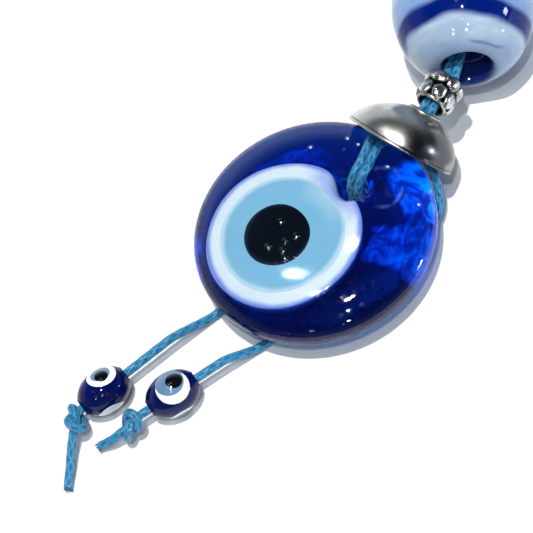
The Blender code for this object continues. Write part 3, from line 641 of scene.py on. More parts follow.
def painted_glow_streaks(tree, place):
    """Painted glow: emission colour that stands in for the light the disc's back gathers, in torn streaks
    that run round the disc.
    """
    parts = parts_of(tree, place)
    turn = math_node(tree, "ARCTAN2", parts["Y"], parts["X"])
    reach = flat_length(tree, place)
    drawn = node(tree, "ShaderNodeCombineXYZ", Y=reach)
    tree.links.new(math_node(tree, "MULTIPLY", turn, 9 * MM), drawn.inputs["X"])
    flow = node(tree, "ShaderNodeTexNoise", Vector=drawn.outputs[0], Scale=170.0, Detail=4.0, Distortion=1.3)
    ridge = math_node(tree, "ABSOLUTE", math_node(tree, "MULTIPLY_ADD", flow.outputs["Fac"], 2.0, -1.0))
    ridge = grade(tree, ridge, 0.0, 0.16, 1.0, 0.0)
    torn = node(tree, "ShaderNodeTexNoise", Vector=drawn.outputs[0], Scale=110.0, Detail=5.0, Distortion=0.8)
    spread = 0.0
    total = 0.0
    for middle, half_width, inner, outer, strength in PAINTED_GLOWS:
        away = math_node(tree, "ABSOLUTE", math_node(tree, "SUBTRACT", turn, math.radians(middle)))
        window = grade(tree, away, math.radians(half_width) * 0.35, math.radians(half_width), 1.0, 0.0)
        rising = grade(tree, reach, inner, inner + 3 * MM)
        falling = grade(tree, reach, outer - 2 * MM, outer, 1.0, 0.0)
        patch = math_node(tree, "MULTIPLY", window, math_node(tree, "MULTIPLY", rising, falling))
        spread = math_node(tree, "MAXIMUM", spread, patch)
        total = math_node(tree, "MAXIMUM", total, math_node(tree, "MULTIPLY", patch, strength))
    edge = math_node(tree, "MULTIPLY_ADD", spread, -0.31, 0.67)
    lit = grade(tree, math_node(tree, "SUBTRACT", torn.outputs["Fac"], edge), 0.0, 0.1)
    fine = node(tree, "ShaderNodeTexNoise", Vector=drawn.outputs[0], Scale=330.0, Detail=4.0, Distortion=2.0)
    fine = grade(tree, fine.outputs["Fac"], 0.4, 0.62, 0.22, 0.85)
    shine = math_node(tree, "MULTIPLY", lit, math_node(tree, "MULTIPLY_ADD", ridge, 0.4, fine))
    shine = math_node(tree, "MULTIPLY", shine, total)
    below = grade(tree, parts["Z"], MID_Z + 1.5 * MM, MID_Z + 3 * MM, 1.0, 0.0)
    return ramp(tree, math_node(tree, "MULTIPLY", shine, below), PAINTED_GLOW_STOPS)


def fold_of_glass(tree, place):
    """Share of the curled fold that the piercing left beside the hole, in broken lines: used for its relief
    and for a painted reflection along it.
    """
    from_fold = vector_node(tree, "SUBTRACT", place, (*FOLD, 0.0))
    drift = math_node(tree, "MULTIPLY_ADD", noise(tree, place, 150.0, 2.0), 2.4 * MM, -1.2 * MM)
    away = math_node(tree, "ADD", flat_length(tree, from_fold), drift)
    away = math_node(tree, "ABSOLUTE", math_node(tree, "SUBTRACT", away, FOLD_R))
    broken = grade(tree, noise(tree, place, 330.0, 3.0), 0.4, 0.6)
    ridge = math_node(tree, "MULTIPLY", grade(tree, away, 0.0, 0.65 * MM, 1.0, 0.0), broken)
    front = grade(tree, parts_of(tree, place)["Z"], MID_Z, MID_Z + 2 * MM)
    return math_node(tree, "MULTIPLY", ridge, front)


def cobalt_glass():
    """Clear cobalt glass, deep where it is thick, with a wavy front, a lumpy back, and a painted glow of
    gathered light in its emission.
    """
    made, tree, shader = material("cobalt_glass")
    place = own_place(tree)
    flow = placed_group(tree, GLASS_FLOW, Place=place, Scale=75.0, Gloss=0.02)
    lumps = noise(tree, place, 150.0, 2.0, 0.45)
    behind = grade(tree, parts_of(tree, place)["Z"], MID_Z - 2 * MM, MID_Z, 1.0, 0.0)
    height = math_node(tree, "MULTIPLY_ADD", math_node(tree, "MULTIPLY", lumps, behind), 2.5, flow["Height"])
    shader.inputs["Base Color"].default_value = (0.75, 0.85, 1.0, 1)
    shader.inputs["Transmission Weight"].default_value = 1.0
    shader.inputs["IOR"].default_value = 1.48
    shader.inputs["Specular IOR Level"].default_value = 0.38
    feed(tree, shader.inputs["Roughness"], flow["Roughness"])
    spots = [(x * MM, y * MM, float(rise_of_front(x * MM, y * MM))) for x, y in DISC_BLISTERS_AND_GLINTS]
    fold = fold_of_glass(tree, place)
    seeds = spotted(tree, place, spots, 0.8 * MM, 0.25 * MM)
    proud = math_node(tree, "MULTIPLY_ADD", fold, 0.32 * MM, seeds)
    feed(tree, shader.inputs["Normal"], bumped(tree, proud, 1.0, 1.0, bumped(tree, height, 0.5 * MM, 0.6)))
    painted_glow_colour = painted_glow_streaks(tree, place)
    # Front faces show a dim share of the painted glow, as painted light seen through the glass
    through = mixed(tree, 1.0, painted_glow_colour, (0.0, 0.05, 0.2), "MULTIPLY")
    # Painted reflection: a pale line along the fold, added to the front's emission
    through = mixed(tree, fold, through, (0.009, 0.016, 0.05), "ADD")
    # Painted glints: small white emission spots on the blisters
    through = mixed(tree, spotted(tree, place, spots, 0.42 * MM, 1.0), through, (0.24, 0.25, 0.26), "ADD")
    # Faces seen from inside the glass show the painted glow in full
    inside = tree.nodes.new("ShaderNodeNewGeometry").outputs["Backfacing"]
    feed(tree, shader.inputs["Emission Color"], mixed(tree, inside, through, painted_glow_colour))
    shader.inputs["Emission Strength"].default_value = 4.2
    absorb = node(tree, "ShaderNodeVolumeAbsorption", Color=(0.0, 0.6, 0.82, 1), Density=620.0)
    tree.links.new(absorb.outputs[0], tree.nodes["Material Output"].inputs["Volume"])
    return made


# Glasses of the eye: inner and outer colour, width of the soft edge, pits and roughness of the coat
EYE_GLASSES = {
    "white_glass": ((0.58, 0.69, 0.73), (0.12, 0.2, 0.6), 0.9 * MM, 0.3, 0.09),
    "pale_blue_glass": ((0.125, 0.345, 0.53), (0.38, 0.54, 0.65), 0.9 * MM, 0.3, 0.09),
    "black_glass": ((0.0008, 0.0018, 0.004), (0.006, 0.016, 0.035), 0.5 * MM, 0.1, 0.02),
}


def eye_glass(name, middle, radius, inner, outer, soft, pits, coat):
    """Opaque glass of the eye, in its outer colour at its soft edge and where the hole drew it thin."""
    made, tree, shader = material(name)
    place = own_place(tree)
    flow = placed_group(tree, GLASS_FLOW, Place=place, Scale=110.0, Gloss=0.05, Pits=pits)
    uneven = noise(tree, place, 260.0, 3.0)
    edge = math_node(tree, "MULTIPLY_ADD", uneven, 0.7 * MM, flat_length(tree, place))
    share = grade(tree, edge, radius - soft, radius + 0.35 * MM)
    from_hole = vector_node(tree, "SUBTRACT", place, (HOLE.x - middle.x, HOLE.y - middle.y, 0.0))
    drawn = math_node(tree, "MULTIPLY_ADD", uneven, 5.0 * MM, flat_length(tree, from_hole))
    drawn = grade(tree, drawn, 7.0 * MM, 13.0 * MM, 0.6, 0.0)
    cloudy = mixed(tree, math_node(tree, "MULTIPLY", flow["Cloud"], 0.25), inner, outer)
    cloudy = mixed(tree, drawn, cloudy, outer)
    feed(tree, shader.inputs["Base Color"], mixed(tree, share, cloudy, outer))
    feed(tree, shader.inputs["Roughness"], flow["Roughness"])
    feed(tree, shader.inputs["Normal"], bumped(tree, flow["Height"], 0.3 * MM, 0.35))
    shader.inputs["Coat Weight"].default_value = 0.6
    shader.inputs["Coat Roughness"].default_value = coat
    return made


def bright_silver(aside):
    """Pressed silver with fine scratches and tarnish, with a painted dark reflection on one side and a
    painted shade line over its rim.
    """
    made, tree, shader = material("bright_silver")
    place = own_place(tree)
    wear = placed_group(tree, METAL_WEAR, Place=place, Scale=140.0, Gloss=0.15)
    sideways = vector_node(tree, "DOT_PRODUCT", place, aside)
    cloud = noise(tree, place, 160.0, 3.0)
    reach = math_node(tree, "MULTIPLY_ADD", cloud, 3.0 * MM, sideways)
    # Painted dark reflection: one side of the cap darkened, fading back to bright just before the rim's edge
    painted_dark_side = grade(tree, reach, 4.5 * MM, 9.5 * MM, 0.0, 0.96)
    painted_dark_side = math_node(tree, "MULTIPLY", painted_dark_side, grade(tree, reach, 12.8 * MM, 13.6 * MM, 1.0, 0.0))
    height = parts_of(tree, place)["Z"]
    # Painted shade: a thin dark line just over the rim
    painted_rim_shade = math_node(tree, "ABSOLUTE", math_node(tree, "SUBTRACT", height, CAP_LIP_H + 0.12 * MM))
    painted_rim_shade = grade(tree, painted_rim_shade, 0.06 * MM, 0.2 * MM, 0.8, 0.0)
    silver = mixed(tree, wear["Tarnish"], (0.62, 0.62, 0.6), (0.42, 0.415, 0.39))
    silver = mixed(tree, painted_dark_side, silver, (0.085, 0.09, 0.1))
    feed(tree, shader.inputs["Base Color"], mixed(tree, painted_rim_shade, silver, (0.05, 0.048, 0.045)))
    satin = grade(tree, reach, 5.0 * MM, 9.0 * MM, 0.13, 0.0)
    feed(tree, shader.inputs["Roughness"], math_node(tree, "ADD", wear["Roughness"], satin))
    feed(tree, shader.inputs["Normal"], bumped(tree, wear["Height"], 0.06 * MM, 0.35))
    shader.inputs["Metallic"].default_value = 1.0
    return made


def antique_silver():
    """Blackened silver, rubbed bright on what stands proud of the drum."""
    made, tree, shader = material("antique_silver")
    place = own_place(tree)
    wear = placed_group(tree, METAL_WEAR, Place=place, Scale=320.0, Gloss=0.16)
    height = math_node(tree, "ABSOLUTE", parts_of(tree, place)["Z"])
    barrel = math_node(tree, "MULTIPLY", height, height)
    ground = math_node(tree, "MULTIPLY_ADD", barrel, -0.06 / MM, SPACER_CORE_R)
    proud = math_node(tree, "SUBTRACT", flat_length(tree, place), ground)
    rubbed = grade(tree, proud, 0.0, 0.32 * MM)
    collar = grade(tree, height, SPACER_LENGTH / 2 - 1.0 * MM, SPACER_LENGTH / 2 - 0.7 * MM)
    bright = math_node(tree, "MAXIMUM", rubbed, collar)
    silver = mixed(tree, wear["Tarnish"], (0.62, 0.62, 0.61), (0.2, 0.2, 0.2))
    feed(tree, shader.inputs["Base Color"], mixed(tree, bright, (0.012, 0.012, 0.014), silver))
    feed(tree, shader.inputs["Roughness"], wear["Roughness"])
    feed(tree, shader.inputs["Normal"], bumped(tree, wear["Height"], 0.12 * MM, 0.5))
    shader.inputs["Metallic"].default_value = 1.0
    return made


def milk_glass(to_own):
    """Milky glass ball with a wide blue band, a thin blue streak, a mouth that darkens inwards, painted shade
    round the mouth and painted glints.
    """
    made, tree, shader = material("milk_glass")
    place = own_place(tree)
    flow = placed_group(tree, GLASS_FLOW, Place=place, Scale=80.0, Gloss=0.06, Pits=0.8)
    warp = noise(tree, place, 70.0, 2.0)
    level = parts_of(tree, place)["Z"]
    level = math_node(tree, "ADD", level, math_node(tree, "MULTIPLY_ADD", warp, 3.2 * MM, -1.6 * MM))
    offset = math_node(tree, "ADD", level, 7.4 * MM)
    band = grade(tree, math_node(tree, "ABSOLUTE", offset), 0.9 * MM, 2.3 * MM, 1.0, 0.0)
    halo = grade(tree, offset, -2.6 * MM, 0.0)
    halo = math_node(tree, "MULTIPLY", halo, grade(tree, offset, 0.0, 8.0 * MM, 0.75, 0.2))
    laid = node(tree, "ShaderNodeMapping", Vector=place, Scale=(0.4, 0.4, 1.6))
    cloud = noise(tree, laid.outputs[0], 160.0, 3.0, 0.6)
    white = mixed(tree, grade(tree, cloud, 0.32, 0.68), (0.3, 0.41, 0.56), (0.5, 0.6, 0.68))
    tinted = mixed(tree, halo, white, (0.1, 0.22, 0.56))
    streak_mid = to_own @ (SWIRL_MID + Vector(STREAK_WAY).normalized() * SWIRL_R)
    reach = vector_node(tree, "SUBTRACT", place, streak_mid)
    near = vector_node(tree, "LENGTH", reach)
    across = vector_node(tree, "DOT_PRODUCT", reach, to_own.to_3x3() @ Vector(STREAK_ACROSS))
    drift = math_node(tree, "MULTIPLY_ADD", cloud, 3.6 * MM, -1.8 * MM)
    thin = math_node(tree, "ABSOLUTE", math_node(tree, "ADD", across, drift))
    streak = math_node(
        tree,
        "MULTIPLY",
        grade(tree, thin, 0.0, 0.6 * MM, 0.75, 0.0),
        grade(tree, near, 2.2 * MM, 5.0 * MM, 1.0, 0.0),
    )
    marked = mixed(tree, streak, tinted, (0.02, 0.06, 0.36))
    banded = mixed(tree, band, marked, (0.0006, 0.01, 0.15))
    # Painted shade: a grey-blue darkening round the mouth
    painted_mouth_shade = grade(tree, flat_length(tree, place), 5.5 * MM, 11.5 * MM, 0.75, 0.0)
    banded = mixed(tree, painted_mouth_shade, banded, (0.16, 0.23, 0.4))
    # Darker within the mouth, about a middle 1.4 mm below the bore's axis
    below = vector_node(tree, "SUBTRACT", place, to_own.to_3x3() @ Vector((0.0, 0.0, -1.4 * MM)))
    mouth = grade(tree, flat_length(tree, below), 4.4 * MM, 6.6 * MM, 1.0, 0.0)
    mouth_darkened = mixed(tree, mouth, banded, (0.006, 0.02, 0.13))
    # Painted glints: small white spots in the ball's colour
    spots = [to_own @ (SWIRL_MID + Vector(spot) * MM) for spot in BALL_PAINTED_GLINTS]
    painted_glints = spotted(tree, place, spots, 0.5 * MM, 1.0)
    feed(tree, shader.inputs["Base Color"], mixed(tree, painted_glints, mouth_darkened, (1.0, 1.0, 1.0)))
    feed(tree, shader.inputs["Roughness"], flow["Roughness"])
    feed(tree, shader.inputs["Normal"], bumped(tree, flow["Height"], 0.4 * MM, 0.35))
    shader.inputs["Specular IOR Level"].default_value = 0.2
    shader.inputs["Subsurface Weight"].default_value = 0.25
    shader.inputs["Subsurface Radius"].default_value = (0.002, 0.0025, 0.003)
    return made


def deep_blue_glass():
    made, tree, shader = material("deep_blue_glass")
    place = own_place(tree)
    flow = placed_group(tree, GLASS_FLOW, Place=place, Scale=140.0, Gloss=0.08)
    blue = mixed(tree, flow["Cloud"], (0.004, 0.012, 0.1), (0.012, 0.04, 0.28))
    feed(tree, shader.inputs["Base Color"], blue)
    feed(tree, shader.inputs["Roughness"], flow["Roughness"])
    feed(tree, shader.inputs["Normal"], bumped(tree, flow["Height"], 0.3 * MM, 0.4))
    return made


def navy_glass():
    made, tree, shader = material("navy_glass")
    place = own_place(tree)
    flow = placed_group(tree, GLASS_FLOW, Place=place, Scale=190.0, Gloss=0.03)
    navy = mixed(tree, flow["Cloud"], (0.0006, 0.002, 0.035), (0.002, 0.007, 0.1))
    feed(tree, shader.inputs["Base Color"], navy)
    feed(tree, shader.inputs["Roughness"], flow["Roughness"])
    proud = spotted(tree, place, [Vector(spot) * MM for spot in BEAD_BLISTERS], 0.4 * MM, 0.2 * MM)
    wavy = bumped(tree, flow["Height"], 0.2 * MM, 0.35)
    feed(tree, shader.inputs["Normal"], bumped(tree, proud, 1.0, 1.0, wavy))
    shader.inputs["Specular IOR Level"].default_value = 0.3
    return made


def dot_glass(name, first, second):
    """Opaque glass trailed on as a dot."""
    made, tree, shader = material(name)
    place = own_place(tree)
    flow = placed_group(tree, GLASS_FLOW, Place=place, Scale=300.0, Gloss=0.05)
    feed(tree, shader.inputs["Base Color"], mixed(tree, flow["Cloud"], first, second))
    feed(tree, shader.inputs["Roughness"], flow["Roughness"])
    feed(tree, shader.inputs["Normal"], bumped(tree, flow["Height"], 0.15 * MM, 0.3))
    shader.inputs["Coat Weight"].default_value = 0.4
    shader.inputs["Coat Roughness"].default_value = 0.03
    return made


def turquoise_cotton():
    """Waxed cotton cord: a plait of two hands of strands, with fibres along them and painted shade in the
    gaps between them.
    """
    made, tree, shader = material("turquoise_cotton")
    uv = node(tree, "ShaderNodeUVMap")
    uv.uv_map = "round_and_along"
    parts = parts_of(tree, uv.outputs[0])
    turn = math_node(tree, "MULTIPLY", parts["X"], 2 * math.pi * PLAIT_STRANDS)
    wind = math_node(tree, "MULTIPLY", parts["Y"], 2 * math.pi * MM / PLAIT_PITCH)
    one = math_node(tree, "COSINE", math_node(tree, "ADD", turn, wind))
    two = math_node(tree, "COSINE", math_node(tree, "SUBTRACT", turn, wind))
    crown = math_node(tree, "MAXIMUM", one, two)
    place = own_place(tree)
    fibre = node(tree, "ShaderNodeMapping", Vector=uv.outputs[0], Scale=(18.0, 1.6, 1.0))
    strand = noise(tree, fibre.outputs[0], 1.0, 3.0, 0.65)
    patch = noise(tree, place, 420.0, 3.0, 0.6)
    height = math_node(tree, "MULTIPLY_ADD", strand, 0.8, crown)
    # Colour follows the plait's height: darker in the gaps between strands, which is painted shade; the patch
    # and fibre noise are the cord's own tone
    shade = math_node(tree, "MULTIPLY_ADD", patch, 0.3, math_node(tree, "MULTIPLY_ADD", height, 0.22, 0.0))
    shade = math_node(tree, "MULTIPLY_ADD", grade(tree, strand, 0.4, 0.7), 0.45, shade)
    feed(tree, shader.inputs["Base Color"], ramp(tree, shade, CORD_STOPS))
    feed(tree, shader.inputs["Roughness"], grade(tree, patch, 0.35, 0.7, 0.24, 0.5))
    feed(tree, shader.inputs["Normal"], bumped(tree, height, 0.16 * MM, 0.8))
    shader.inputs["Sheen Weight"].default_value = 0.15
    return made


# Disc


def rise_of_front(x, y):
    """Height of the disc's front about its middle, with the flare and the hollows round the hole."""
    share = np.clip(np.hypot(x, y) / DISC_R, 0, 1)
    dome = MID_Z + DISC_T / 2 * np.maximum(1 - share**DISC_FRONT_POWER, 0) ** (1 / DISC_EDGE_POWER)
    away = np.hypot(x - HOLE.x, y - HOLE.y)
    turn = np.arctan2(y - HOLE.y, x - HOLE.x)
    uneven = 1 + 0.035 * np.sin(4 * turn + 0.6) + 0.02 * np.sin(9 * turn)
    inner = np.clip((HOLE_R + HOLE_FLARE * uneven - away) / HOLE_FLARE, 0, 1)
    flare = HOLE_FLARE_DEPTH * (1 - np.sqrt(1 - inner**2))
    hollow = DENT_DEPTH * np.clip(1 - (away / DENT_R) ** 2, 0, 1) ** 2
    ear = EAR_DEPTH * np.clip(1 - (np.hypot(x - EAR.x, y - EAR.y) / EAR_R) ** 3, 0, 1) ** 1.5
    return dome - flare - hollow - ear


def rise_of_back(x, y):
    share = np.clip((np.hypot(x, y) - DISC_FLAT_R) / (DISC_R - DISC_FLAT_R), 0, 1)
    face = MID_Z - (MID_Z - BACK_Z) * np.sqrt(1 - share**2)
    away = np.hypot(x - HOLE.x, y - HOLE.y)
    inner = np.clip((HOLE_R + HOLE_BACK_FLARE - away) / HOLE_BACK_FLARE, 0, 1)
    return face + HOLE_BACK_DEPTH * (1 - np.sqrt(1 - inner**2))


def make_disc():
    """Pierced disc, drawn as rings of points from the hole over the front, round the edge and back behind."""
    steps = 180
    angles = np.linspace(0, 2 * math.pi, steps, endpoint=False)
    way = np.stack([np.cos(angles), np.sin(angles)], axis=1)
    along = way @ np.array(HOLE)
    rim = -along + np.sqrt(along**2 + DISC_R**2 - HOLE.length_squared)
    bend = np.linspace(0, math.pi / 2, 14)
    rows = []
    for reach in HOLE_R + HOLE_FLARE * (1 - np.cos(bend)):
        rows.append((np.full(steps, reach), rise_of_front))
    start = HOLE_R + HOLE_FLARE
    for share in np.sin(np.linspace(0, math.pi / 2, 46))[1:]:
        rows.append((start + (rim - start) * share, rise_of_front))
    start = HOLE_R + HOLE_BACK_FLARE
    for share in np.sin(np.linspace(math.pi / 2, 0, 34))[1:]:
        rows.append((start + (rim - start) * share, rise_of_back))
    for reach in (HOLE_R + HOLE_BACK_FLARE * (1 - np.cos(bend[::-2])))[1:]:
        rows.append((np.full(steps, reach), rise_of_back))
    points = []
    for reach, rise in rows:
        x = HOLE.x + way[:, 0] * reach
        y = HOLE.y + way[:, 1] * reach
        points.append(np.stack([x, y, rise(x, y)], axis=1))
    mesh = grid_mesh("glass_disc_hand_worked", np.array(points), wrap_rows=True)
    place = Matrix.Translation(HOME)
    placed("glass_disc_hand_worked", mesh, cobalt_glass(), "disc", ["glass_disc"], place)


def make_eye():
    """Three opaque layers spread on the front, drawn aside and down where the hole was pierced."""
    layers = [
        ("eye_white", EYE, EYE_WHITE_R, EYE_WHITE_DEPTH, "white_glass"),
        ("eye_iris", EYE, EYE_IRIS_R, EYE_IRIS_DEPTH, "pale_blue_glass"),
        ("eye_pupil", EYE + EYE_PUPIL_SHIFT, EYE_PUPIL_R, EYE_PUPIL_DEPTH, "black_glass"),
    ]
    steps = 160
    angles = np.linspace(0, 2 * math.pi, steps, endpoint=False)
    for k, (name, middle, radius, depth, slot) in enumerate(layers):
        lift = (0.05 + 0.04 * k) * MM
        wobble = 1 + 0.006 * np.sin(2 * angles + k) + 0.004 * np.sin(5 * angles + 2 * k)
        rows = []
        for share in np.linspace(0.001, 1, 64):
            x = middle.x + radius * share * wobble * np.cos(angles)
            y = middle.y + radius * share * wobble * np.sin(angles)
            offset = np.stack([x - HOLE.x, y - HOLE.y])
            away = np.hypot(*offset)
            pushed = np.sqrt(away**2 + (HOLE_R + 0.02 * MM) ** 2)
            x, y = np.array(HOLE)[:, None] + offset / away * pushed
            rows.append(np.stack([x, y, rise_of_front(x, y)], axis=1))
        rows = np.array(rows)
        edge = 1e-5
        slope_x = (rise_of_front(rows[..., 0] + edge, rows[..., 1]) - rows[..., 2]) / edge
        slope_y = (rise_of_front(rows[..., 0], rows[..., 1] + edge) - rows[..., 2]) / edge
        normals = np.stack([-slope_x, -slope_y, np.ones_like(slope_x)], axis=2)
        normals /= np.linalg.norm(normals, axis=2, keepdims=True)
        top = rows + normals * lift
        for place in BLISTERS if name == "eye_pupil" else ():
            away = np.hypot(*(rows[..., :2] - np.array(middle) - np.array(place) * MM).transpose(2, 0, 1))
            top[..., 2] += BLISTER_H * np.clip(1 - (away / BLISTER_R) ** 2, 0, 1) ** 2
        under = rows - np.array([0.0, 0.0, depth])
        centre = np.array([middle.x, middle.y, 0.0])
        points = np.concatenate([top, under[::-1]]) - centre
        mesh = grid_mesh(f"{name}_spread", points)
        finish = eye_glass(slot, middle, radius, *EYE_GLASSES[slot])
        place = Matrix.Translation(HOME + Vector(centre))
        placed(f"{name}_spread", mesh, finish, "disc", [name], place)


# Silver


def make_cap():
    """Thin domed cap with a rolled rim and a flared collar, pressed a little oval and askew."""
    outer_end = math.acos((CAP_HOLE_R + CAP_COLLAR_WALL) / CAP_R)
    inner_h = CAP_H - CAP_WALL
    inner_r = CAP_R - CAP_WALL
    inner_end = math.acos(CAP_HOLE_R / inner_r)
    rise = CAP_H / math.sin(outer_end)
    inner_rise = inner_h / math.sin(inner_end)
    collar_r = CAP_HOLE_R + CAP_COLLAR_WALL
    top = CAP_H + CAP_COLLAR_H - CAP_COLLAR_DROP
    half = CAP_COLLAR_WALL / 2
    collar = arc((CAP_HOLE_R + CAP_COLLAR_FLARE + half, top - half), (half, half), math.pi, -0.3, 11)
    foot = [(collar_r + 0.05 * MM, CAP_H + 0.5 * MM), (collar_r + 0.1 * MM, CAP_H)]
    outer = arc((0, 0), (CAP_R, rise), outer_end - 0.03, math.asin(CAP_LIP_H / rise) + 0.05, 40)
    lip_radii = (CAP_LIP + 0.1 * MM, CAP_LIP_H / 2)
    lip = arc((CAP_R - 0.1 * MM, CAP_LIP_H / 2), lip_radii, math.pi / 2, -math.pi / 2, 11)
    inner = arc((0, 0), (inner_r, inner_rise), 0.03, inner_end, 30)
    mesh = turned_mesh("bead_cap_pressed", collar + foot + outer + lip + inner, 160)
    place = standing(CAP_MOUTH, CAP_AXIS)
    aside = place.inverted().to_3x3() @ CAP_SIDE
    for vertex in mesh.vertices:
        share = vertex.co.z / top
        reach = vertex.co.dot(aside)
        rim_shift = reach * CAP_OVAL * (1 - share) + CAP_RIM_SHIFT * (1 - share)
        vertex.co += aside * (rim_shift + CAP_TOP_SHIFT * share)
    placed("bead_cap_pressed", mesh, bright_silver(aside), "cap", ["bead_cap"], place)


def make_spacer():
    """Drum bead with two staggered rows of flattened grains and a rounded collar at each end."""
    half = SPACER_LENGTH / 2
    waist = half - SPACER_COLLAR_H
    wall = (SPACER_COLLAR_R - SPACER_BORE_R) / 2
    end = arc((SPACER_BORE_R + wall, half - wall), (wall, wall), math.pi, 0, 9)
    span = math.asin(1 / 1.35)
    barrel = arc((0, 0), (SPACER_CORE_R, waist * 1.35), span, -span, 24)
    side = end + [(SPACER_COLLAR_R, waist + 0.1 * MM)]
    side = [(r, z - SPACER_SHORT) for r, z in side] + barrel[3:]
    profile = side + [(SPACER_COLLAR_R, -waist - 0.1 * MM)] + [(r, -z) for r, z in end[::-1]]
    drum = turned_mesh("spacer_drum", profile, 96)
    work = bmesh.new()
    work.from_mesh(drum)
    for row in (-1, 1):
        for k in range(SPACER_GRAIN_COUNT):
            angle = 2 * math.pi * (k + 0.25 * row) / SPACER_GRAIN_COUNT
            reach = SPACER_CORE_R + SPACER_GRAIN_PROUD - SPACER_GRAIN_R * 0.5
            middle = Vector((reach * math.cos(angle), reach * math.sin(angle), row * SPACER_GRAIN_R * 0.93))
            wide = 1 + 0.1 * math.sin(5 * k + row)
            shape = Matrix.Diagonal((0.5, wide, 2 - wide, 1.0)) @ Matrix.Scale(SPACER_GRAIN_R, 4)
            place = Matrix.Translation(middle) @ Matrix.Rotation(angle, 4, "Z") @ shape
            ball = bmesh.ops.create_uvsphere(work, u_segments=24, v_segments=16, radius=1.0, matrix=place)
            for vertex in ball["verts"]:
                x, y, z = vertex.co
                dent = math.sin(2900 * x + k) * math.sin(2700 * y) * math.sin(3100 * z + row)
                vertex.co += (vertex.co - middle) * 0.07 * dent
    work.to_mesh(drum)
    work.free()
    drum.shade_smooth()
    place = standing(SPACER_MID - SPACER_AXIS * SPACER_SLIP, SPACER_AXIS)
    placed("spacer_drum_grained", drum, antique_silver(), "spacer", ["spacer_bead"], place)


# Glass beads


def swirl_bore():
    """The bore from its far end to its near end: a throat that opens to a wide mouth at each end."""
    throat = SWIRL_THROAT_LENGTH / 2
    span = SWIRL_HALF - throat
    upper = []
    for share in np.linspace(1, 0, 16):
        widen = (SWIRL_MOUTH_R - SWIRL_THROAT_R) * share**1.1
        upper.append((SWIRL_THROAT_R + widen, throat + span * share))
    return upper + [(r, -z) for r, z in upper[::-1]]


def drawn_aside(mesh, place):
    """Draws the near mouth of the bead out and down, and opens it."""
    sag = place.inverted().to_3x3() @ SWIRL_SAG
    for vertex in mesh.vertices:
        share = min(max((-vertex.co.z - 3 * MM) / (10 * MM), 0), 1)
        share = share * share * (3 - 2 * share)
        vertex.co.xy *= 1 + SWIRL_SPREAD * share
        vertex.co += sag * share


def make_swirl():
    """Round milky bead whose mouths roll over into a blue bore."""
    rim = math.atan2(SWIRL_HALF, SWIRL_MOUTH_R) - SWIRL_ROLL
    face = arc((0, 0), (SWIRL_R, SWIRL_R), rim, -rim, 96)
    bore = swirl_bore()
    inside = bore[2:-2]
    roll = []
    for t in np.linspace(0, 1, 12)[1:-1]:
        mix = (1 - t) ** 2 * np.array(inside[0]) + t**2 * np.array(face[0])
        roll.append(tuple(mix + 2 * t * (1 - t) * np.array((SWIRL_MOUTH_R, SWIRL_HALF))))
    place = standing(SWIRL_MID, SWIRL_AXIS) @ Matrix.Diagonal((1.0, 1.0, SWIRL_STRETCH, 1.0))
    profile = face + [(r, -z) for r, z in roll[::-1]] + inside[::-1] + roll
    ball = turned_mesh("swirl_ball", profile, 160)
    drawn_aside(ball, place)
    finish = milk_glass(place.inverted())
    placed("swirl_ball", ball, finish, "swirl", ["swirl_casing", "swirl_band"], place)
    deep = inside[:-5]
    lining = [(r - 0.03 * MM, z) for r, z in deep]
    skin = [(r + 0.3 * MM, z * 0.99) for r, z in deep[::-1]]
    core = turned_mesh("swirl_lining", lining + skin, 96)
    drawn_aside(core, place)
    placed("swirl_lining", core, deep_blue_glass(), "swirl", ["swirl_core"], place)


def oval_radius(along):
    """Radius of a tail bead at a distance along its cord."""
    end = math.acos(BEAD_END_R / BEAD_R)
    rise = BEAD_LENGTH / 2 / math.sin(end)
    return BEAD_R * np.sqrt(np.maximum(1 - (along / rise) ** 2, 0))


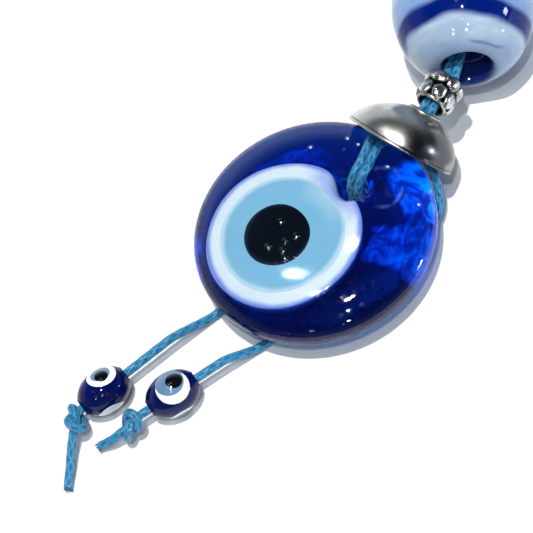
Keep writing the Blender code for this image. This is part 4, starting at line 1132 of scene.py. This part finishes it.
def make_tail_bead(side, glasses):
    """Oval bead on a tail, with its dots of white, grey blue and black spread over one side."""
    tail = TAILS[side]
    way = joint_axis(f"bead_{side}_slide")
    middle = middle_of(f"tail_bead_{side}")
    middle.z = BEAD_R + 0.05 * MM
    half = BEAD_LENGTH / 2
    outside = [(float(oval_radius(z)), z) for z in np.linspace(half, -half, 64)]
    lip = 0.25 * MM
    ends = arc((BEAD_END_R - lip, half - lip * 0.2), (lip, lip), math.pi / 2, 0.3, 5)
    outside = ends + outside[1:-1] + [(r, -z) for r, z in ends[::-1]]
    flare = BEAD_BORE_R + 0.3 * MM
    bore = [(flare, half * 0.985), (BEAD_BORE_R, half * 0.6)]
    bore = [(r, -z) for r, z in bore] + bore[::-1]
    body = turned_mesh(f"tail_bead_{side}_oval", outside + bore, 96)
    placed(
        f"tail_bead_{side}_oval",
        body,
        glasses["navy_glass"],
        f"bead_{side}",
        [f"tail_bead_{side}"],
        standing(middle, way),
    )
    front = (tail["eye"] - way * tail["eye"].dot(way)).normalized()
    layers = (("white", "dot_white"), ("iris", "dot_grey_blue"), ("pupil", "dot_black"))
    angles = np.linspace(0, 2 * math.pi, 72, endpoint=False)
    second = Matrix.Rotation(tail["second_eye"], 3, way) @ front
    for face, end, more, size in ((front, "", 0.0, 1.0), (second, "_second", tail["second_along"], 0.7)):
        across = face.cross(way)
        lift = 0.0
        for k, (name, slot) in enumerate(layers):
            radius = tail["eye_radii"][k] * MM * (size if k else 1.0)
            wobble = 1 + 0.015 * np.sin(2 * angles + k) + 0.01 * np.sin(3 * angles + 2 * k)
            rows = []
            for share in np.linspace(0.002, 1, 28):
                a = (tail["eye_along"][k] + more) * MM + radius * share * wobble * np.cos(angles)
                b = tail["eye_across"][k] * MM + radius * share * wobble * np.sin(angles)
                dome = (0.07 * MM) * np.sqrt(1 - share**4) + lift - 0.02 * MM
                level = np.sqrt(np.maximum(oval_radius(a) ** 2 - b**2, 0)) + dome
                rows.append(np.outer(a, way) + np.outer(b, across) + np.outer(level, face))
            lift += 0.055 * MM
            mesh = grid_mesh(f"tail_dot_{name}_{side}{end}", np.array(rows))
            nodes = [] if end else [f"tail_eye_{name}_{side}"]
            place = Matrix.Translation(middle)
            placed(f"tail_dot_{name}_{side}{end}", mesh, glasses[slot], f"bead_{side}", nodes, place)


# Cords


def lay_cord(name, points, cotton, body):
    """Plaited cord along points, which stands for the CAD node of that name."""
    mesh = cord_mesh(f"{name}_plaited", points)
    return placed(f"{name}_plaited", mesh, cotton, body, [name])


def over_front(x, y, lift=0.0):
    """A cord's middle lying on the disc's front."""
    return on_disc(x, y, float(rise_of_front(x, y)) + CORD_R * 0.94 + lift)


def make_front_strands(cotton):
    """Two strands from the cap, side by side over the disc's front and down the pierced hole."""
    start = KNOT_MID - CAP_AXIS * (KNOT_HALF + CORD_R) - CAP_SIDE * 2.2 * MM + UP * 1.7 * CORD_R
    lip = HOLE.y + HOLE_R + HOLE_FLARE
    for side, sign in (("left", -1), ("right", 1)):
        x = HOLE.x + sign * STRAND_ASIDE
        apart = sign * 0.25 * MM
        route = [
            start + CAP_SIDE * sign * STRAND_ASIDE,
            over_front(x - 0.6 * MM + apart, lip + 6.8 * MM, 0.6 * MM),
            over_front(x - 1.1 * MM + apart, lip + 5.0 * MM, 0.2 * MM),
            over_front(x - 0.5 * MM, lip + 2.3 * MM),
            over_front(x + 0.2 * MM, lip - 0.6 * MM, 0.1 * MM),
            on_disc(x + 0.4 * MM, HOLE.y + 2.6 * MM, FRONT_Z - 0.1 * MM),
            on_disc(x + 0.1 * MM, HOLE.y + 1.0 * MM, FRONT_Z - 2.2 * MM),
            on_disc(x, HOLE.y + 0.3 * MM, FRONT_Z - HOLE_FLARE_DEPTH),
            on_disc(x, HOLE.y, MID_Z - 0.5 * MM),
        ]
        lay_cord(f"front_strand_{side}", smooth_route(route), cotton, "disc")


def make_back_runs(cotton):
    """The cord behind the disc: from the hole to the left tail, up to the cap, and down to the right tail."""
    drop = MID_Z - 0.2 * MM
    ends = {}
    for side in TAILS:
        ends[side] = joint_place(f"tail_{side}_swing") - joint_axis(f"bead_{side}_slide") * TAIL_OVERLAP
    x = HOLE.x - STRAND_ASIDE
    left_way = joint_axis("bead_left_slide")
    right_way = joint_axis("bead_right_slide")
    left_exit = joint_place("tail_left_swing") - HOME
    right_exit = joint_place("tail_right_swing") - HOME
    left = [
        on_disc(x, HOLE.y, drop),
        on_disc(x - 0.1 * MM, HOLE.y - 0.4 * MM, BACK_Z + 1.2 * MM),
        on_disc(x - 0.8 * MM, HOLE.y - 2.4 * MM, CORD_Z + 0.15 * MM),
        on_disc(x - 2.6 * MM, HOLE.y - 7.0 * MM, CORD_Z),
        on_disc(left_exit.x * 0.55, left_exit.y * 0.45, CORD_Z),
        ends["left"] - left_way * 2.0 * MM,
        ends["left"],
    ]
    x = HOLE.x + STRAND_ASIDE
    inner_r = CAP_R - CAP_WALL
    mouth = CAP_MOUTH - HOME
    knot = KNOT_MID - HOME
    rim = mouth + CAP_AXIS.cross(CAP_SIDE).normalized() * (inner_r - CORD_R - 1.2 * MM)
    outside = DISC_R + CORD_R + 0.6 * MM
    up = [
        on_disc(x, HOLE.y, drop),
        on_disc(x + 0.1 * MM, HOLE.y + 0.4 * MM, BACK_Z + 1.2 * MM),
        on_disc(x + 0.4 * MM, HOLE.y + 2.4 * MM, CORD_Z + 0.15 * MM),
        on_disc(mouth.x - 1.0 * MM, DISC_R - 7.0 * MM, CORD_Z),
        on_disc(mouth.x - 0.6 * MM, DISC_R - 3.6 * MM, CORD_Z + 0.3 * MM),
        rim + HOME,
        on_disc(mouth.x, math.sqrt(outside**2 - mouth.x**2) + 0.3 * MM, BACK_Z + 3.0 * MM),
        on_disc(knot.x, max(knot.y, outside), knot.z - 2.0 * CORD_D),
    ]
    edge = mouth + CAP_SIDE * inner_r
    bearing = math.atan2(edge.x, edge.y)

    def by_rim(turn, reach, height):
        """A point beside the disc's rim, turned on from the cap's right edge."""
        angle = bearing + math.radians(turn)
        return on_disc(math.sin(angle) * reach, math.cos(angle) * reach, height)

    right = [
        KNOT_MID - CAP_AXIS * 1.5 * CORD_D + CAP_SIDE * 2.6 * CORD_D - UP * 0.6 * MM,
        by_rim(-3.0, outside - 0.15 * MM, MID_Z + 1.0 * MM),
        by_rim(1.0, outside - 0.3 * MM, MID_Z - 1.0 * MM),
        by_rim(6.0, DISC_R + CORD_R - 0.3 * MM, BACK_Z + 2.7 * MM),
        by_rim(12.0, DISC_R - 0.8 * MM, BACK_Z + 1.0 * MM),
        on_disc(DISC_R * 0.68, DISC_R * 0.48, CORD_Z + 0.35 * MM),
        on_disc(DISC_R * 0.6, DISC_R * 0.22, CORD_Z),
        on_disc(right_exit.x + 7.0 * MM, right_exit.y * 0.25, CORD_Z),
        ends["right"] - right_way * 2.0 * MM,
        ends["right"],
    ]
    for name, route in (("back_run_left", left), ("back_run_up", up), ("back_run_right", right)):
        lay_cord(name, smooth_route(route), cotton, "disc")


def make_string(cotton):
    """The knot in the cap and the two strands that carry the cap, the spacer and the swirled bead."""
    knot = knot_route(KNOT_MID - CAP_AXIS * KNOT_HALF, CAP_AXIS, math.radians(40.0))
    lay_cord("cap_knot", smooth_route(knot), cotton, "hanger")
    throat = SWIRL_THROAT_LENGTH / 2
    begin = KNOT_MID + CAP_AXIS * (KNOT_HALF + 0.2 * MM)
    near = SPACER_MID - SPACER_AXIS * SPACER_LENGTH / 2
    far = SPACER_MID + SPACER_AXIS * SPACER_LENGTH / 2
    swirl_side = SWIRL_AXIS.cross(UP).normalized()
    spacer_side = SPACER_AXIS.cross(UP).normalized()
    for side, sign in (("left", -1), ("right", 1)):
        aside = sign * STRAND_ASIDE
        route = [
            begin + CAP_SIDE * aside,
            CAP_TOP + CAP_SIDE * (aside + CAP_TOP_SHIFT),
            near + spacer_side * aside,
            SPACER_MID + spacer_side * aside,
            far + spacer_side * aside,
            SWIRL_MID - SWIRL_AXIS * (throat - 1.0 * MM) + swirl_side * aside,
            SWIRL_MID + swirl_side * aside,
            SWIRL_MID + SWIRL_AXIS * throat + swirl_side * aside,
            SWIRL_MID + SWIRL_AXIS * (SWIRL_HALF - LOOP_OVERLAP) + swirl_side * aside,
        ]
        lay_cord(f"string_strand_{side}", smooth_route(route), cotton, "hanger")


def make_loop(cotton):
    """The doubled cord beyond the beads, drooping to the table as a teardrop loop."""
    side = SWIRL_AXIS.cross(UP).normalized()
    start = SWIRL_MID + SWIRL_AXIS * (SWIRL_HALF + 0.5 * MM)
    half = LOOP_WIDTH / 2
    # distance beyond the bead, half width and height of the right leg
    leg = [
        (-LOOP_OVERLAP - 0.7 * MM, STRAND_ASIDE, start.z),
        (0.0, STRAND_ASIDE, start.z),
        (3.0 * MM, STRAND_ASIDE, start.z - 0.3 * MM),
        (LOOP_LENGTH * 0.19, STRAND_ASIDE + 0.4 * MM, start.z * 0.74),
        (LOOP_LENGTH * 0.33, half * 0.42, start.z * 0.3),
        (LOOP_LENGTH * 0.47, half * 0.68, CORD_Z + 0.5 * MM),
        (LOOP_LENGTH * 0.66, half, CORD_Z),
        (LOOP_LENGTH * 0.88, half * 0.72, CORD_Z),
    ]
    route = []
    for reach, width, height in leg:
        point = start + SWIRL_AXIS * reach + side * width
        route.append(Vector((point.x, point.y, height)))
    tip = start + SWIRL_AXIS * LOOP_LENGTH
    route.append(Vector((tip.x, tip.y, CORD_Z)))
    for reach, width, height in leg[::-1]:
        point = start + SWIRL_AXIS * reach - side * width
        route.append(Vector((point.x, point.y, height)))
    points = smooth_route(route)
    loop = lay_cord("hanging_loop", points, cotton, None)
    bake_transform(loop)


def make_tail(side, cotton):
    """A tail from under the disc: up to its bead's height, straight through the bead, knotted and cut."""
    tail = TAILS[side]
    begin = joint_place(f"tail_{side}_swing")
    way = joint_axis(f"bead_{side}_slide")
    aside = Vector((-way.y, way.x, 0))
    bead = middle_of(f"tail_bead_{side}")
    bead_at = (Vector((bead.x, bead.y, 0)) - Vector((begin.x, begin.y, 0))).dot(way)
    rise = BEAD_R + 0.05 * MM - begin.z
    climb = tail["climb"]
    knot_at = bead_at + BEAD_LENGTH / 2 + tail["neck"]
    plain = [
        begin - way * (TAIL_OVERLAP + 0.3 * MM),
        begin - way * 2.0 * MM,
        begin,
        begin + way * climb * 0.22 + UP * rise * 0.07,
        begin + way * climb * 0.5 + UP * rise * 0.47,
        begin + way * climb * 0.8 + UP * rise * 0.93,
        begin + way * climb + UP * rise,
        begin + way * bead_at + UP * rise,
        begin + way * knot_at + UP * rise,
    ]
    plain = smooth_route(plain, 1.0 * MM)
    turned_way = Vector((-math.sin(tail["knot_lean"]), -math.cos(tail["knot_lean"]), -0.1))
    knot = knot_route(plain[-1], turned_way, tail["knot_roll"])
    end = Vector(knot[-1])
    free = [knot[-2], knot[-1]]
    for reach, shift, drop in tail["free"]:
        point = end + (way * reach + aside * shift + UP * drop) * MM
        free.append(Vector((point.x, point.y, max(point.z, CORD_Z))))
    free = smooth_route(free, 0.6 * MM)
    points = eased(smooth_route(np.vstack([plain[:-1], knot, free[2:]])), 10)
    name = f"tail_cord_{side}"
    piece = lay_cord(name, points, cotton, None)
    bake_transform(piece)
    fray = make_fray(side, Vector(points[-1]), Vector(points[-1] - points[-3]).normalized(), cotton)


def make_fray(side, end, way, cotton):
    """Loose fibres that stand out of a cut end."""
    first = way.orthogonal().normalized()
    second = way.cross(first)
    work = bmesh.new()
    for k in range(FRAY_COUNT):
        turn = 2.4 * k
        out = first * math.cos(turn) + second * math.sin(turn)
        reach = CORD_R * (0.3 + 0.62 * (k * 0.618 % 1))
        length = FRAY_LENGTH * (0.55 + 0.45 * (k * 0.414 % 1))
        root = end - way * 0.5 * MM + out * reach
        splay = out * (0.1 + 0.4 * (k * 0.277 % 1))
        route = [root + (way + splay * t) * length * t for t in (0.0, 0.33, 0.66, 1.0)]
        route = [Vector((p.x, p.y, max(p.z, FRAY_R + 0.05 * MM))) for p in route]
        fibre = cord_mesh("fibre", smooth_route(route, 0.25 * MM), FRAY_R, 6)
        work.from_mesh(fibre)
        bpy.data.meshes.remove(fibre)
    mesh = bpy.data.meshes.new(f"tail_fray_{side}")
    work.to_mesh(mesh)
    work.free()
    mesh.shade_smooth()
    return placed(f"tail_fray_{side}", mesh, cotton, f"tail_{side}", [])


# Stage

VIEW = Vector((0.455, -0.252, 0.854))  # from the ornament to the camera
VIEW_RIGHT = Vector((0.777, 0.582, -0.242))
VIEW_UP = Vector((-0.436, 0.773, 0.461))
CAMERA_LENS = 134.8  # mm, on a 36 mm sensor
KEY_WAY = (0.07, -0.035, 1.0)  # from the ornament to the lamp
SECOND_WAY = (0.28, -0.2, 0.96)
SOFT_WAYS = ((-0.37, 0.11, 0.92), (-0.2, 0.0, 0.98))
SPARK_WAYS = ((0.3, -0.75, 0.59), (0.6, -0.45, 0.66))
WIDE_WAY = (-0.3, 0.275, 0.914)
LOW_WAY = (0.86, 0.48, 0.17)
FILL_WAY = (-0.1, 0.0, 1.0)
LAMP_AWAY = 1.4
TABLE_HALF = 3.0
KEY_POWER = 15.0
SECOND_POWER = 4.0
SOFT_POWER = 0.45
SPARK_POWER = 0.7
WIDE_POWER = 0.3
LOW_POWER = 4.5
FILL_POWER = 7.0
SKY_WAY = (-0.96, 0.28, 0.0)  # to the brightest side of the studio
SKY_BRIGHT = (0.72, 0.76, 0.8)  # round the horizon, on that side
SKY_PALE = (0.16, 0.18, 0.2)  # round the horizon, on the other
SKY_DARK = (0.03, 0.035, 0.045)  # overhead


def make_camera():
    data = bpy.data.cameras.new("camera")
    data.lens = CAMERA_LENS
    data.sensor_width = 36.0
    data.clip_start = 0.01
    camera = bpy.data.objects.new("camera", data)
    bpy.context.scene.collection.objects.link(camera)
    back = VIEW.normalized()
    right = (VIEW_RIGHT - back * VIEW_RIGHT.dot(back)).normalized()
    axes = Matrix((right, back.cross(right), back)).transposed()
    place = HOME + UP * 8 * MM + VIEW * 400 * MM - VIEW_RIGHT * 9.6 * MM - VIEW_UP * 7.21 * MM
    camera.matrix_world = Matrix.Translation(place) @ axes.to_4x4()
    bpy.context.scene.camera = camera


def make_lamp(name, way, size, power, colour):
    """Round lamp that shines back along way."""
    data = bpy.data.lights.new(name, "AREA")
    data.shape = "DISK"
    data.size = size
    data.energy = power
    data.color = colour
    lamp = bpy.data.objects.new(name, data)
    bpy.context.scene.collection.objects.link(lamp)
    way = Vector(way).normalized()
    lamp.location = HOME + way * LAMP_AWAY
    lamp.rotation_euler = (-way).to_track_quat("-Z", "Y").to_euler()
    return lamp


def make_stage():
    """Pale table, lamps, and a studio that is bright round the horizon."""
    floor = bpy.data.meshes.new("table")
    corners = [(x * TABLE_HALF, y * TABLE_HALF, 0) for x, y in ((-1, -1), (1, -1), (1, 1), (-1, 1))]
    floor.from_pydata(corners, [], [(0, 1, 2, 3)])
    table = bpy.data.objects.new("table", floor)
    bpy.context.scene.collection.objects.link(table)
    made, tree, shader = material("table_white")
    grain = noise(tree, tree.nodes.new("ShaderNodeTexCoord").outputs["Object"], 30.0, 2.0)
    feed(tree, shader.inputs["Base Color"], mixed(tree, grain, (0.86, 0.865, 0.87), (0.9, 0.9, 0.9)))
    shader.inputs["Roughness"].default_value = 0.6
    floor.materials.append(made)
    make_lamp("key", KEY_WAY, 0.035, KEY_POWER, (1.0, 0.98, 0.95))
    make_lamp("second", SECOND_WAY, 0.035, SECOND_POWER, (0.95, 0.98, 1.0))
    for k, way in enumerate(SOFT_WAYS):
        make_lamp(f"soft_{k}", way, 0.11, SOFT_POWER, (0.95, 0.98, 1.0))
    for k, way in enumerate(SPARK_WAYS):
        make_lamp(f"spark_{k}", way, 0.06, SPARK_POWER, (1.0, 1.0, 1.0))
    make_lamp("wide", WIDE_WAY, 0.05, WIDE_POWER, (1.0, 1.0, 1.0))
    make_lamp("low", LOW_WAY, 0.2, LOW_POWER, (0.82, 0.92, 1.0))
    make_lamp("fill", FILL_WAY, 1.6, FILL_POWER, (0.88, 0.96, 1.0)).visible_glossy = False
    world = bpy.data.worlds.new("studio")
    world.use_nodes = True
    tree = world.node_tree
    way = tree.nodes.new("ShaderNodeTexCoord").outputs["Generated"]
    facing = vector_node(tree, "DOT_PRODUCT", way, SKY_WAY)
    low = mixed(tree, grade(tree, facing, -0.2, 0.9), SKY_PALE, SKY_BRIGHT)
    height = grade(tree, parts_of(tree, way)["Z"], 0.3, 0.62)
    background = tree.nodes["Background"]
    feed(tree, background.inputs["Color"], mixed(tree, height, low, SKY_DARK))
    background.inputs["Strength"].default_value = 1.0
    bpy.context.scene.world = world
    bpy.context.scene.view_settings.view_transform = "Standard"


def make_all():
    cotton = turquoise_cotton()
    make_camera()
    make_disc()
    make_eye()
    make_cap()
    make_spacer()
    make_swirl()
    glasses = {
        "navy_glass": navy_glass(),
        "dot_white": dot_glass("dot_white", (0.86, 0.88, 0.92), (0.78, 0.82, 0.88)),
        "dot_grey_blue": dot_glass("dot_grey_blue", (0.1, 0.19, 0.32), (0.15, 0.25, 0.4)),
        "dot_black": dot_glass("dot_black", (0.001, 0.001, 0.002), (0.004, 0.005, 0.008)),
    }
    for side in TAILS:
        make_tail_bead(side, glasses)
        make_tail(side, cotton)
    make_front_strands(cotton)
    make_back_runs(cotton)
    make_string(cotton)
    make_loop(cotton)
    make_stage()


make_all()
